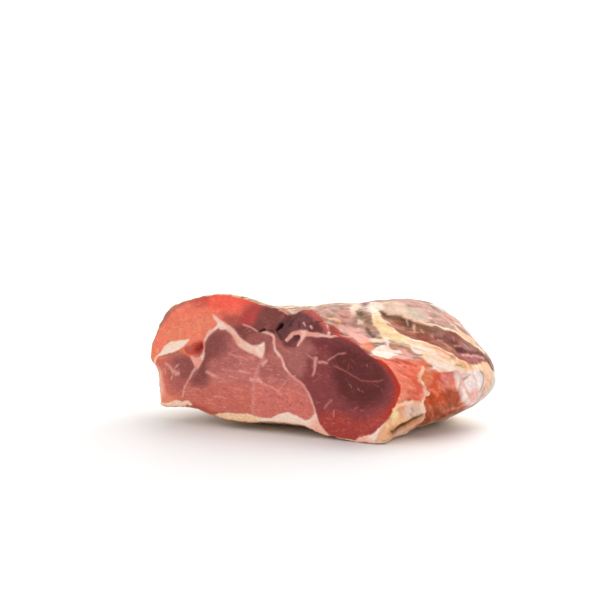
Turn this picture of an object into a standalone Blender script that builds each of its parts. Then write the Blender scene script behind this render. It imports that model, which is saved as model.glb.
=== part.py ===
"""Half of a boneless dry-cured serrano ham, lying on its skin side with its cut face to the front.

The cut face looks along -Y, +X runs along the cut to the right, and the ham tapers to a rounded end at +Y.
"""

import math

import bmesh
import bpy
from mathutils import Vector, noise

# Driving dimensions, in metres
CUT_WIDTH = 0.224  # across the cut face, flap to thigh
CUT_HEIGHT = 0.106  # from the skin to the top of the flap
BODY_LENGTH = 0.168  # from the cut face to the rounded end

# The uncut body behind the trimmed rim, as distances from its axis
AXIS_START = Vector((0.0, 0.0, 0.5 * CUT_HEIGHT))
AXIS_END = Vector((0.14 * CUT_WIDTH, BODY_LENGTH, 0.42 * CUT_HEIGHT))
BODY_RIGHT = 0.56 * CUT_WIDTH
BODY_LEFT = 0.52 * CUT_WIDTH
BODY_UP = 0.42 * CUT_HEIGHT
BODY_DOWN = 0.52 * CUT_HEIGHT
BODY_SQUARENESS = 2.3  # 2 is an ellipse, higher is boxier

# Bulges and hollows of the body: angle and spread in degrees round the axis, then depth, reach and height
SWELLINGS = [
    (33, 17, 0.48 * BODY_LENGTH, 0.34 * BODY_LENGTH, 0.185 * CUT_HEIGHT),  # the high shoulder over the thigh
    (66, 12, 0.32 * BODY_LENGTH, 0.18 * BODY_LENGTH, 0.025 * CUT_HEIGHT),  # the shoulder's front, over the cut
    (10, 11, 0.70 * BODY_LENGTH, 0.22 * BODY_LENGTH, -0.075 * CUT_HEIGHT),  # the flat fall behind the shoulder
    (-6, 9, 0.72 * BODY_LENGTH, 0.22 * BODY_LENGTH, 0.035 * CUT_HEIGHT),  # the thigh's outermost edge
    (-31, 15, 0.20 * BODY_LENGTH, 0.20 * BODY_LENGTH, 0.075 * CUT_HEIGHT),  # the fat fold along the thigh's foot
    (112, 22, 0.20 * BODY_LENGTH, 0.22 * BODY_LENGTH, -0.09 * CUT_HEIGHT),  # the hollow behind the flap
    (142, 16, 0.45 * BODY_LENGTH, 0.25 * BODY_LENGTH, -0.028 * CUT_HEIGHT),  # the same hollow, further back
    (160, 24, 0.55 * BODY_LENGTH, 0.30 * BODY_LENGTH, 0.06 * CUT_HEIGHT),  # the shank side's muscle
]
TRIM_LENGTH = 0.34 * BODY_LENGTH  # depth over which the cut outline swells to the full body
TAPER_START = 0.36 * BODY_LENGTH
TAPER_POWER = 2.5  # how late the body draws in: higher is later
TAPER_ROUNDNESS = 2.2  # 2 ends as round as a ball, higher is blunter

# Creases (negative height) and ridges (positive) of the outer surface: half width, height, then the line they
# follow, as shares of half the cut width, of the length and of the cut height
CREASES = [
    # the dried lean band in the opening where the bone came out, and the fat lip below it
    (0.0060, -0.0034, [(0.52, 0.27, 0.94), (0.80, 0.25, 0.84), (0.98, 0.274, 0.764), (1.125, 0.327, 0.67),
                       (1.214, 0.417, 0.585), (1.24, 0.554, 0.52), (1.23, 0.70, 0.43)]),
    (0.0060, 0.0030, [(0.63, 0.197, 0.85), (0.82, 0.155, 0.727), (0.93, 0.185, 0.68), (1.036, 0.197, 0.613),
                      (1.116, 0.238, 0.557), (1.18, 0.304, 0.538), (1.223, 0.405, 0.51), (1.25, 0.482, 0.519)]),
    # the far end of the bone's opening, running on over the top
    (0.0080, -0.0025, [(0.10, 0.52, 0.95), (0.02, 0.72, 0.85), (0.10, 0.90, 0.70)]),
    # the edge of the trimmed rind on the thigh, and the fold of skin under it
    (0.0050, 0.0016, [(1.054, 0.179, 0.538), (1.0625, 0.149, 0.443), (1.089, 0.185, 0.396), (1.089, 0.208, 0.34),
                      (1.027, 0.25, 0.208), (0.955, 0.31, 0.132)]),
    (0.0100, 0.0045, [(0.90, 0.05, 0.03), (0.95, 0.10, 0.04), (0.93, 0.20, 0.03)]),
    (0.0045, -0.0030, [(0.884, 0.113, 0.094), (0.893, 0.155, 0.113), (0.955, 0.196, 0.17)]),
    # the gap under the flap, the dip behind its crest, and the hollow between it and the round muscle
    (0.0050, -0.0060, [(-0.95, 0.0, 0.40), (-0.99, 0.10, 0.415), (-1.02, 0.20, 0.43)]),
    (0.0120, -0.0035, [(-0.35, 0.16, 0.98), (-0.10, 0.13, 0.94), (0.14, 0.12, 0.91)]),
    (0.0070, -0.0030, [(0.15, 0.0, 0.90), (0.13, 0.12, 0.93), (0.08, 0.24, 0.93)]),
    # seams between the muscles of the shank side and of the rounded end
    (0.0080, -0.0030, [(-1.08, 0.25, 0.60), (-1.02, 0.50, 0.55), (-0.78, 0.75, 0.52), (-0.45, 0.92, 0.50)]),
    (0.0090, -0.0024, [(-0.75, 0.30, 0.92), (-0.55, 0.55, 0.88), (-0.30, 0.78, 0.80), (0.05, 0.94, 0.60)]),
]
CREASE_FADE = 0.010  # depth over which the creases fade in behind the clean cut
WAVES = [(0.030, 0.0016), (0.012, 0.0006)]  # length and height of the uneven surface
SETTLING = 0.003  # heights within this of the ground are pressed smoothly up to it, and lower ones flat on it

# The flap's crest, dried since it was cut, leans back from the cut plane
FLAP_ROLL = 0.004
FLAP_CREST = math.radians(112)
FLAP_REACH = (0.35, 0.95)  # cosines of the turn from the crest, where the lean starts and where it is full
ROLL_SHARPNESS = 5  # higher keeps the lean nearer to the rim

# The mesh: columns round the axis, rings on the cut face, rows behind it, and how they are spaced
SEGMENTS = 108
SPLINE_STEPS = 12  # points along the cut outline for each one given
FACE_RINGS = 8
LAST_RING = 0.985  # share of the outline's radius, so that the rim has a small round
RIM_DEPTH = 0.002
BODY_ROWS = 27
BODY_SPACING = 1.15  # above 1, rows are closer at the rim
END_ROWS = 10
END_START = 0.72 * BODY_LENGTH
CREASE_ANGLE = math.radians(50)  # sharper edges are not smoothed over

# Dark red lean with a thin film of its own oil
HAM_COLOUR = (0.42, 0.115, 0.09, 1.0)
HAM_ROUGHNESS = 0.42

# The cut outline, as shares of half the cut width and of the cut height, from the lowest point round by the thigh
BELLY = [(0.0, 0.080), (0.16, 0.085), (0.31, 0.071), (0.384, 0.038), (0.464, 0.024), (0.714, 0.0), (0.82, 0.012)]
THIGH = [(0.875, 0.057), (0.911, 0.17), (0.955, 0.274), (1.0, 0.387), (0.991, 0.443), (0.929, 0.538), (0.866, 0.594)]
SHOULDER = [(0.768, 0.623), (0.705, 0.675), (0.607, 0.726), (0.5, 0.755), (0.446, 0.792)]
ROUND_MUSCLE = [(0.429, 0.849), (0.366, 0.91), (0.277, 0.929), (0.223, 0.91), (0.152, 0.868)]
FLAP = [(0.116, 0.913), (-0.049, 0.932), (-0.205, 0.972), (-0.393, 1.0), (-0.58, 0.976), (-0.741, 0.928),
        (-0.822, 0.876), (-0.892, 0.816), (-0.934, 0.728), (-0.98, 0.632), (-1.01, 0.52), (-0.985, 0.43)]
SHANK_SIDE = [(-0.94, 0.395), (-0.938, 0.30), (-0.928, 0.20), (-0.91, 0.12)]
SKIN = [(-0.68, 0.132), (-0.589, 0.113), (-0.384, 0.071), (-0.223, 0.061)]


def smoothstep(low, high, value):
    """0 below low, 1 above high, and an even S between them."""
    share = min(1.0, max(0.0, (value - low) / (high - low)))
    return share * share * (3 - 2 * share)


def closed_spline(points, steps):
    """Points along a closed Catmull-Rom curve, steps of them for each given point."""
    curve = []
    count = len(points)
    for i in range(count):
        p0, p1, p2, p3 = (points[(i + k) % count] for k in (-1, 0, 1, 2))
        for step in range(steps):
            t = step / steps
            curve.append(0.5 * (2 * p1 + t * (p2 - p0) + t * t * (2 * p0 - 5 * p1 + 4 * p2 - p3)
                                + t ** 3 * (3 * p1 - p0 - 3 * p2 + p3)))
    return curve


def cut_profile():
    """(angle, radius) pairs of the cut outline about the axis, sorted by angle."""
    shares = BELLY + THIGH + SHOULDER + ROUND_MUSCLE + FLAP + SHANK_SIDE + SKIN
    points = [Vector((x * CUT_WIDTH / 2, z * CUT_HEIGHT)) for x, z in shares]
    centre = Vector((AXIS_START.x, AXIS_START.z))
    arms = [p - centre for p in closed_spline(points, SPLINE_STEPS)]
    return sorted((math.atan2(arm.y, arm.x) % math.tau, arm.length) for arm in arms)


def radius_at(profile, angle):
    """The profile's radius at an angle, read between its neighbours."""
    angle %= math.tau
    low = [pair for pair in profile if pair[0] <= angle]
    high = [pair for pair in profile if pair[0] > angle]
    a0, r0 = low[-1] if low else (profile[-1][0] - math.tau, profile[-1][1])
    a1, r1 = high[0] if high else (profile[0][0] + math.tau, profile[0][1])
    return r0 + (r1 - r0) * (angle - a0) / max(a1 - a0, 1e-9)


def even_angles(profile, count):
    """Angles that lie at even steps of length along the cut outline."""
    lengths = [0.0]
    for (a0, r0), (a1, r1) in zip(profile, profile[1:] + [(profile[0][0] + math.tau, profile[0][1])]):
        step = Vector((r1 * math.cos(a1) - r0 * math.cos(a0), r1 * math.sin(a1) - r0 * math.sin(a0)))
        lengths.append(lengths[-1] + step.length)
    starts = [a for a, _ in profile] + [profile[0][0] + math.tau]
    angles, i = [], 0
    for k in range(count):
        target = lengths[-1] * k / count
        while lengths[i + 1] < target:
            i += 1
        share = (target - lengths[i]) / max(lengths[i + 1] - lengths[i], 1e-9)
        angles.append(starts[i] + (starts[i + 1] - starts[i]) * share)
    return angles


def body_radius(angle):
    """The uncut body's radius before it tapers: a rounded box with its own reach on each side."""
    across = BODY_RIGHT if math.cos(angle) > 0 else BODY_LEFT
    along = BODY_UP if math.sin(angle) > 0 else BODY_DOWN
    n = BODY_SQUARENESS
    return (abs(math.cos(angle) / across) ** n + abs(math.sin(angle) / along) ** n) ** (-1 / n)


def taper(depth):
    """The share of its full size that a section keeps at a depth behind the cut."""
    share = max(0.0, (depth - TAPER_START) / (BODY_LENGTH - TAPER_START))
    return max(0.0, 1 - share ** TAPER_POWER) ** (1 / TAPER_ROUNDNESS)


def axis_at(depth):
    """The axis point at a depth, drifting to the thigh side and down towards the rounded end."""
    return AXIS_START.lerp(AXIS_END, smoothstep(0.0, BODY_LENGTH, depth))


def line_distance(point, line):
    """The distance from a point to a line of points, in metres."""
    nearest = math.inf
    for start, end in zip(line, line[1:]):
        along = end - start
        share = max(0.0, min(1.0, (point - start).dot(along) / along.length_squared))
        nearest = min(nearest, (point - start - share * along).length)
    return nearest


def relief(point):
    """How far creases, ridges and waves push the outer surface out at a point, fading in behind the rim."""
    height = 0.0
    for half_width, rise, shares in CREASES:
        line = [Vector((x * CUT_WIDTH / 2, y * BODY_LENGTH, z * CUT_HEIGHT)) for x, y, z in shares]
        height += rise * math.exp(-(line_distance(point, line) / half_width) ** 2)
    height *= smoothstep(0.0, CREASE_FADE, point.y)
    for length, rise in WAVES:
        height += rise * noise.noise(point / length) * smoothstep(0.0, length, point.y)
    return height


def surface_point(profile, angle, depth):
    """The point of the outer surface at an angle round the axis and a depth behind the cut."""
    swell = smoothstep(0.0, TRIM_LENGTH, depth)
    radius = radius_at(profile, angle) * (1 - swell) + body_radius(angle) * swell
    for middle, spread, deep, reach, height in SWELLINGS:
        turn = math.remainder(angle - math.radians(middle), math.tau) / math.radians(spread)
        radius += swell * height * math.exp(-turn * turn - ((depth - deep) / reach) ** 2)
    radius *= taper(depth)
    centre = axis_at(depth)
    outward = Vector((math.cos(angle), 0.0, math.sin(angle)))
    point = Vector((centre.x, depth, centre.z)) + radius * outward
    return point + relief(point) * outward


def flap_roll(angle):
    """How far the rim leans back at an angle: fully over the flap's crest, and not at all beside it."""
    return FLAP_ROLL * smoothstep(*FLAP_REACH, math.cos(angle - FLAP_CREST))


def face_point(profile, angle, share):
    """A point of the cut face, at a share of the way from its middle to the rim."""
    point = AXIS_START.lerp(surface_point(profile, angle, 0.0), share)
    point.y += flap_roll(angle) * share ** ROLL_SHARPNESS
    return point


def settle(bm):
    """Sets the ham down: what would be lowest is pressed flat at z = 0, and the origin is under its middle."""
    for vert in bm.verts:
        if vert.co.z < SETTLING:
            vert.co.z = max(0.0, vert.co.z + SETTLING) ** 2 / (4 * SETTLING)
    middle = [0.5 * (min(v.co[i] for v in bm.verts) + max(v.co[i] for v in bm.verts)) for i in (0, 1)]
    bmesh.ops.translate(bm, verts=bm.verts, vec=(-middle[0], -middle[1], 0.0))


def row_depths():
    """Depths of the rows behind the rim: close at the rim, then even, then gathered towards the end."""
    reach = END_START - RIM_DEPTH
    depths = [RIM_DEPTH + reach * (i / BODY_ROWS) ** BODY_SPACING for i in range(BODY_ROWS)]
    for i in range(END_ROWS):
        depths.append(END_START + (BODY_LENGTH - END_START) * math.sin(math.pi / 2 * i / END_ROWS))
    return depths


def ring_shares():
    """Shares of the outline's radius for the rings on the cut face, from the middle out to the rim."""
    return [LAST_RING * math.sin(math.pi / 2 * i / FACE_RINGS) for i in range(1, FACE_RINGS + 1)]


def cured_meat():
    """The ham's material."""
    material = bpy.data.materials.new("cured_ham")
    material.use_nodes = True
    shader = material.node_tree.nodes["Principled BSDF"]
    shader.inputs["Base Color"].default_value = HAM_COLOUR
    shader.inputs["Roughness"].default_value = HAM_ROUGHNESS
    shader.inputs["Metallic"].default_value = 0.0
    material.diffuse_color = HAM_COLOUR
    return material


def build_ham(collection):
    """A UV sphere whose poles become the middle of the cut face and the tip of the rounded end."""
    profile = cut_profile()
    angles = even_angles(profile, SEGMENTS)
    rings, depths = ring_shares(), row_depths()
    rows = len(rings) + len(depths) + 1
    bm = bmesh.new()
    bmesh.ops.create_uvsphere(bm, u_segments=SEGMENTS, v_segments=rows, radius=1.0)
    for vert in bm.verts:
        row = round(math.acos(max(-1.0, min(1.0, vert.co.z))) / math.pi * rows)
        angle = angles[round(math.atan2(vert.co.y, vert.co.x) / math.tau * SEGMENTS) % SEGMENTS]
        if row == 0:
            vert.co = AXIS_START
        elif row == rows:
            vert.co = AXIS_END
        elif row <= len(rings):
            vert.co = face_point(profile, angle, rings[row - 1])
        else:
            depth = depths[row - 1 - len(rings)]
            vert.co = surface_point(profile, angle, depth)
            vert.co.y += flap_roll(angle) * (1 - smoothstep(0.0, TRIM_LENGTH, depth))
    settle(bm)
    bmesh.ops.recalc_face_normals(bm, faces=bm.faces)
    bmesh.ops.triangulate(bm, faces=bm.faces)
    mesh = bpy.data.meshes.new("ham")
    bm.to_mesh(mesh)
    bm.free()
    mesh.shade_smooth()
    mesh.set_sharp_from_angle(angle=CREASE_ANGLE)
    ham = bpy.data.objects.new("ham", mesh)
    ham.data.materials.append(cured_meat())
    collection.objects.link(ham)


def main():
    for old in list(bpy.data.objects):
        bpy.data.objects.remove(old)
    collection = bpy.data.collections.new("serrano_ham")
    bpy.context.scene.collection.children.link(collection)
    build_ham(collection)


main()
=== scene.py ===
"""The looks of half a boneless dry-cured serrano ham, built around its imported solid.

Places on the ham are in millimetres from the middle of its cut face: x runs right across the cut, y runs
back from it and z runs up from what the ham stands on. The outer surface is also charted by its turn, in
degrees round the ham from the right over the top, and by its depth behind the cut.
"""

import logging
import math
from dataclasses import dataclass, field
from enum import Enum

import bmesh
import bpy
import numpy as np
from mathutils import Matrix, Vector, kdtree, noise


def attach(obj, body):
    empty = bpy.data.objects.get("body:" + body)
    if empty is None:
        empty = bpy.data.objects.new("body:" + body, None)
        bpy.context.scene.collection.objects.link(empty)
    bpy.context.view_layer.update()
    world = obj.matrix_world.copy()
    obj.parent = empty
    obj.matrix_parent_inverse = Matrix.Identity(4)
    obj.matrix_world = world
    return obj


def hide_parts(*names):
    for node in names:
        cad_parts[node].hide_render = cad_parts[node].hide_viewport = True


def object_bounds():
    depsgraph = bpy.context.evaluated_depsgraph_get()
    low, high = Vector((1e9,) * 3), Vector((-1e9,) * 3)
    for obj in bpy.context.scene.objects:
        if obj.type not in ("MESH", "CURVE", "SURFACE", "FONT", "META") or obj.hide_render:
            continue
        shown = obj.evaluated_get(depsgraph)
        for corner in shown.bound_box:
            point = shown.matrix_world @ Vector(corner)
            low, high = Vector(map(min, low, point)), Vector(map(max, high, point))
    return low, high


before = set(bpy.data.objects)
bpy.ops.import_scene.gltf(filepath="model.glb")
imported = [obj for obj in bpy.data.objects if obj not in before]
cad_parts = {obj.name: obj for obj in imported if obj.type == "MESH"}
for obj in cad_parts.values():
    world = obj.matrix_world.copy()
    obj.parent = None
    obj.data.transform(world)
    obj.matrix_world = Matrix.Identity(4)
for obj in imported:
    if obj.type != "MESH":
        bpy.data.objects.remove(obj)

LOG = logging.getLogger("serrano_ham")
CAD_LOW, CAD_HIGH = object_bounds()
MM = 0.001
FLAP_TO_MIDDLE = 113.0  # from the flap's tip, the solid's left edge, to the middle of the cut
ORIGIN = Vector((CAD_LOW.x + FLAP_TO_MIDDLE * MM, CAD_LOW.y, 0.0))
BODY_LENGTH = (CAD_HIGH.y - CAD_LOW.y) / MM
AXIS_START = np.array((0.0, 53.0))  # x and z of the chart's axis at the cut
AXIS_END = np.array((31.4, 44.5))  # and at the rounded end
MM_PER_DEGREE = 1.7  # along the outer surface, on average
SPIRAL = 0.3  # degrees that the outer fibres turn down the side for each mm of depth
FAR = 99.0  # a cover that is well outside every patch, in mm
WANDER_SEED = 5  # not 0, for which Blender takes the clock
CURVE_STEPS = 4  # pieces from each point of an outline or line to the next
SHORTEST = 1e-9  # keeps a piece without length from dividing by 0
PATCH_MARGIN = 14.0  # how far outside its box a patch is still measured, in mm
FAT_BLEND = 2.0  # the width outside fat over which its colour takes over from another fat's, in mm
FAT_EDGE = 1.2  # the width over which fat rises from the lean, in mm
SEAM_RISE = 0.25  # how far a seam of fat stands proud of the lean, in mm
STREAK_TAPER = 0.7  # a streak's width at its end, as a share of that at its start
FLECK_TAPER = 0.4  # the same for a fleck of marbling
FLECK_BEND = 0.12  # how far flecks mostly bow, as a share of their length
FLECK_STRENGTH = (0.3, 0.8)  # how much of the lean's colour the faintest and the strongest fleck hide
SLOW_FADE = 0.3  # how much of its distance counts where a tint fades in slowly
PATTERN_REACH = 10.0  # turns a pattern's level to a distance inside its streaks, in mm
TOP_PAINTED = 50.0  # the turn up to which the side is painted with listed outlines, in degrees
FOOT_PAINTED = -24.0  # and the turn down to which it is
DEPTH_PAINTED = 112.0  # and the depth back to which it is, in mm
CENTRE_TO_THIGH = ((24, 44), (30, 40), (34.5, 35), (37.5, 29), (40, 21), (44, 6))  # the two muscles' border


class Tone(Enum):
    """The colours of the ham's tissues, and of the shade, highlight and glow painted on them, in sRGB."""

    # Lean as it shows on the cut
    ROSE = "#bd6a62"
    MAUVE_PINK = "#b06a64"
    BROWN_RED = "#ae5248"
    FLAP_PALE = "#ec8868"
    BRICK_PALE = "#c8605a"
    FLAP_RED = "#f07860"
    TAN_EDGE = "#cf8a60"
    # Brightened partly as painted light: the bounce light on the fat under the thigh
    RIM_PEACH = "#ffbca6"
    # Near black: painted shade in and beside the gaps, and the round muscle's darkest flecks
    BLACK_LEAN_AND_SHADE = "#3c2222"
    FLAP = "#f27e64"
    FLAP_TOP_HIGHLIGHT = "#f86450"
    FLAP_SOFT = "#e88a6c"
    CRIMSON = "#bc4843"
    MAUVE = "#824440"
    MAUVE_SOFT = "#a65c57"
    PINK_LEAN = "#c8746b"
    CORAL = "#cf6e5e"
    DEEP_PINK = "#d97669"
    GARNET = "#652b2b"
    PLUM = "#703032"
    BERRY = "#8c4142"
    BRICK = "#b8463a"
    RIM_RED = "#bc3322"
    AUBERGINE = "#7c4848"
    BLOOD = "#8a2415"
    # Painted shade for the insides of gaps and holes
    GAP_SHADE = "#240a08"
    # Fat
    WHITE_FAT = "#feece0"
    CREAM = "#fbd9c0"
    SEAM = "#e9b09a"
    IVORY = "#fce6c8"
    PINK_BRIGHT = "#fcb4aa"
    YELLOW_DEEP = "#f4c890"
    PINK_FAT = "#f0b2a4"
    ROSE_FAT = "#e3978d"
    PEACH_FAT = "#efbb96"
    YELLOW_FAT = "#f8dcac"
    YELLOW_PALE = "#f2dfaf"
    ORANGE_FAT = "#dc9a70"
    # Multiplied into aged fat, and into the darkest fibres
    AGED_FAT = "#f0c49a"
    STAIN = "#c49484"
    # The outside: dried, trimmed and left with its rind
    SKIN = "#ae857b"
    SKIN_PINK = "#c48e7e"
    SKIN_MAUVE = "#a5766c"
    SKIN_GREY = "#d6c3ae"
    SKIN_BROWN = "#a26a50"
    OLIVE = "#8a6e54"
    OLIVE_DARK = "#6c5038"
    UMBER = "#5a412e"
    OCHRE = "#b58450"
    ORANGE_BROWN = "#bb7f4e"
    ORANGE = "#e9865e"
    BAND_BROWN = "#9e5c46"
    BAND_RED = "#96422c"
    BAND_MAUVE = "#9f6d64"
    MAROON = "#693434"
    MULBERRY = "#9c504c"
    MULBERRY_PINK = "#dc7c74"
    SALMON = "#ec765a"
    SALMON_PALE = "#f8846a"
    VERMILION = "#d4583e"
    STREAK_RED = "#ab3826"
    AMBER = "#ae481c"
    AMBER_LOW_SHADE = "#8a3a0c"
    SLIT_SHADE = "#6e3612"
    AMBER_BRIGHT = "#ce4c10"
    FILM_WHITE = "#f2e2de"
    PINK_FILM = "#e6aa9e"
    PALE_FILM = "#ecd4cc"
    GREY_FILM = "#d3c5b9"
    RIND = "#c99863"
    RIND_GOLD = "#dab47e"
    RIND_DARK = "#8e6038"


def linear(hex_colour: str) -> tuple[float, float, float]:
    """Turns an sRGB hex colour to linear light.

    Args:
        hex_colour: The colour, as "#rrggbb".

    Returns:
        Its red, green and blue in linear light.
    """
    channels = [int(hex_colour[i:i + 2], 16) / 255 for i in (1, 3, 5)]
    return tuple(c / 12.92 if c <= 0.04045 else ((c + 0.055) / 1.055) ** 2.4 for c in channels)


def ramp(low: float, high: float, value: np.ndarray) -> np.ndarray:
    """Rises in an even S from 0 at low to 1 at high, or falls where high is the lower.

    Args:
        low: The value that gives 0.
        high: The value that gives 1.
        value: The values to read.

    Returns:
        A share for each value.
    """
    share = np.clip((value - low) / (high - low), 0.0, 1.0)
    return share * share * (3.0 - 2.0 * share)


def smooth_curve(points: list, closed: bool) -> np.ndarray:
    """Draws a Catmull-Rom curve through points.

    Args:
        points: The points that it passes through.
        closed: True if it runs on from the last point to the first.

    Returns:
        The curve's points, one a row.
    """
    given = np.asarray(points, float)
    if closed:
        row = np.vstack([given[-1:], given, given[:2]])
    else:
        row = np.vstack([2 * given[:1] - given[1:2], given, 2 * given[-1:] - given[-2:-1]])
    p0, p1, p2, p3 = (row[i:len(row) - 3 + i, None, :] for i in range(4))
    t = (np.arange(CURVE_STEPS) / CURVE_STEPS)[None, :, None]
    square = 2 * p0 - 5 * p1 + 4 * p2 - p3
    cube = 3 * p1 - p0 - 3 * p2 + p3
    curve = 0.5 * (2 * p1 + t * (p2 - p0) + t * t * square + t ** 3 * cube)
    curve = curve.reshape(-1, given.shape[1])
    return curve if closed else np.vstack([curve, given[-1:]])


def distance_to_line(places: np.ndarray, line: np.ndarray) -> tuple[np.ndarray, np.ndarray]:
    """Measures how far places lie from a line of points.

    Args:
        places: The places, one a row.
        line: The line's points, one a row.

    Returns:
        For each place its distance to the line, and how far along the line, from 0 to 1, its nearest
        point is.
    """
    nearest = np.full(len(places), np.inf)
    along = np.zeros(len(places))
    for i, (start, end) in enumerate(zip(line, line[1:])):
        span = end - start
        share = np.clip((places - start) @ span / max(span @ span, SHORTEST), 0.0, 1.0)
        gap = np.linalg.norm(places - start - share[:, None] * span, axis=1)
        closer = gap < nearest
        nearest[closer] = gap[closer]
        along[closer] = (i + share[closer]) / (len(line) - 1)
    return nearest, along


def inside_outline(chart: np.ndarray, outline: np.ndarray) -> np.ndarray:
    """Tells which chart points lie in a closed outline.

    Args:
        chart: The points, one a row.
        outline: The outline's points, one a row.

    Returns:
        True for each point inside.
    """
    inside = np.zeros(len(chart), bool)
    for (x0, y0), (x1, y1) in zip(outline, np.roll(outline, -1, axis=0)):
        crosses = (y0 > chart[:, 1]) != (y1 > chart[:, 1])
        if y0 != y1:
            inside ^= crosses & (chart[:, 0] < (x1 - x0) * (chart[:, 1] - y0) / (y1 - y0) + x0)
    return inside


def wander(places: np.ndarray, length: float, reach: float) -> np.ndarray:
    """Makes a smooth random shift for each place.

    Args:
        places: The places, in mm, one a row of three.
        length: The length over which the shift changes, in mm.
        reach: How far it goes, in mm.

    Returns:
        A shift for each place.
    """
    noise.seed_set(WANDER_SEED)
    return reach * np.array([noise.noise_vector(Vector(place)) for place in places / length])


def ripple(places: np.ndarray, length: float) -> np.ndarray:
    """Makes a smooth random number from -1 to 1 for each place.

    Args:
        places: The places, in mm, one a row of three.
        length: The length over which the number changes, in mm.

    Returns:
        A number for each place.
    """
    return np.array([noise.noise(Vector(place)) for place in places / length])


def soft_edge(cover: np.ndarray, feather: float) -> np.ndarray:
    """Turns a cover to a share from 0 to 1, half of it at the edge.

    Args:
        cover: How far each point lies inside, in mm.
        feather: The width over which the share rises, in mm.

    Returns:
        The share for each point.
    """
    return ramp(-0.5 * feather, 0.5 * feather, cover)


def mixed(colours: np.ndarray, tone: Tone, share: np.ndarray) -> np.ndarray:
    """Mixes a tone into colours.

    Args:
        colours: The old colours, in linear light, one a row.
        tone: The tone.
        share: How much of it each colour gets.

    Returns:
        The new colours.
    """
    share = share[:, None]
    return colours * (1.0 - share) + share * np.array(linear(tone.value))


@dataclass
class Canvas:
    """A surface to paint point by point.

    Attributes:
        places: Where each point is, in mm.
        chart: The coordinates in which its outlines and lines are drawn, one row of two for each point.
        tone: Each point's colour as lean, in linear light.
        fat: How far each point lies inside fat, in mm, or outside as a negative number.
        fat_tone: Each point's colour as fat, in linear light.
        rise: How far each point is raised, in mm.
    """

    places: np.ndarray
    chart: np.ndarray
    tone: np.ndarray = field(init=False)
    fat: np.ndarray = field(init=False)
    fat_tone: np.ndarray = field(init=False)
    rise: np.ndarray = field(init=False)

    def __post_init__(self) -> None:
        """Starts with plain lean and no fat."""
        count = len(self.places)
        self.tone = np.tile(linear(Tone.ROSE.value), (count, 1))
        self.fat = np.full(count, -FAR)
        self.fat_tone = np.tile(linear(Tone.CREAM.value), (count, 1))
        self.rise = np.zeros(count)

    def locate(self, line: np.ndarray) -> np.ndarray:
        """Returns the places of chart points, which are the same where the surface is flat."""
        return line

    def near(self, line: np.ndarray, margin: float) -> np.ndarray:
        """Finds the points whose chart coordinates lie about a line.

        Args:
            line: The line's chart points.
            margin: How far around the line's box, in mm.

        Returns:
            The points' numbers.
        """
        low, high = line.min(axis=0) - margin, line.max(axis=0) + margin
        return np.flatnonzero(((self.chart > low) & (self.chart < high)).all(axis=1))

    def patch(self, outline: list) -> np.ndarray:
        """Measures a closed patch.

        Args:
            outline: The chart points that its edge passes through.

        Returns:
            For each point, how far it lies inside the patch, in mm, or outside as a negative number.
        """
        edge = smooth_curve(outline, closed=True)
        cover = np.full(len(self.places), -FAR)
        near = self.near(edge, PATCH_MARGIN)
        gap, _ = distance_to_line(self.places[near], self.locate(np.vstack([edge, edge[:1]])))
        cover[near] = np.where(inside_outline(self.chart[near], edge), gap, -gap)
        return cover

    def stroke(self, line: list, start: float, end: float | None = None, margin: float = 10.0) -> np.ndarray:
        """Measures a stroke that follows a line.

        Args:
            line: The chart points that it passes through.
            start: Its width at the start, in mm.
            end: Its width at the end, if that differs.
            margin: How far outside it is still measured, in mm.

        Returns:
            For each point, how far it lies inside the stroke, in mm, or outside as a negative number.
        """
        curve = smooth_curve(line, closed=False)
        cover = np.full(len(self.places), -FAR)
        near = self.near(curve, margin)
        gap, along = distance_to_line(self.places[near], self.locate(curve))
        width = start + ((start if end is None else end) - start) * along
        cover[near] = 0.5 * width - gap
        return cover

    def wash(self, cover: np.ndarray, tone: Tone, feather: float, strength: float = 1.0) -> None:
        """Tints the lean under a cover.

        Args:
            cover: How far each point lies inside what is tinted, in mm.
            tone: The colour that it gets.
            feather: The width over which the tint fades in, in mm.
            strength: How much of the old colour it hides.
        """
        self.tone = mixed(self.tone, tone, strength * soft_edge(cover, feather))

    def fatten(self, cover: np.ndarray, tone: Tone, rise: float = 0.0) -> None:
        """Lays fat under a cover.

        Args:
            cover: How far each point lies inside the fat, in mm.
            tone: The fat's colour.
            rise: How far it stands proud of the lean, in mm.
        """
        self.fat_tone = mixed(self.fat_tone, tone, ramp(-FAT_BLEND, 0.0, cover))
        self.fat = np.maximum(self.fat, cover)
        self.lift(cover, rise, FAT_EDGE)

    def tint_fat(self, cover: np.ndarray, tone: Tone, feather: float, strength: float = 1.0) -> None:
        """Tints lean and fat alike under a cover.

        Args:
            cover: How far each point lies inside what is tinted, in mm.
            tone: The colour that it gets.
            feather: The width over which the tint fades in, in mm.
            strength: How much of the old colour it hides.
        """
        self.wash(cover, tone, feather, strength)
        self.fat_tone = mixed(self.fat_tone, tone, strength * soft_edge(cover, feather))

    def tint_patches(self, *rows: tuple) -> None:
        """Tints patches one after another.

        Args:
            *rows: A tone, a feather in mm, a strength and an outline for each.
        """
        for tone, feather, strength, outline in rows:
            self.wash(self.patch(outline), tone, feather, strength)

    def tint_streaks(self, *rows: tuple) -> None:
        """Tints tapering streaks one after another.

        Args:
            *rows: A tone, a width in mm, a strength and a line for each.
        """
        for tone, width, strength, line in rows:
            feather = 0.6 * width + 0.8
            self.wash(self.stroke(line, width, STREAK_TAPER * width), tone, feather, strength)

    def tint_fats(self, *rows: tuple) -> None:
        """Tints patches of lean and fat alike, one after another.

        Args:
            *rows: A tone, a feather in mm, a strength and an outline for each.
        """
        for tone, feather, strength, outline in rows:
            self.tint_fat(self.patch(outline), tone, feather, strength)

    def lay_seams(self, *rows: tuple) -> None:
        """Lays seams of fat one after another.

        Args:
            *rows: A tone, a width in mm at the start, one at the end and a line for each.
        """
        for tone, start, end, line in rows:
            self.fatten(self.stroke(line, start, end), tone, SEAM_RISE)

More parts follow.
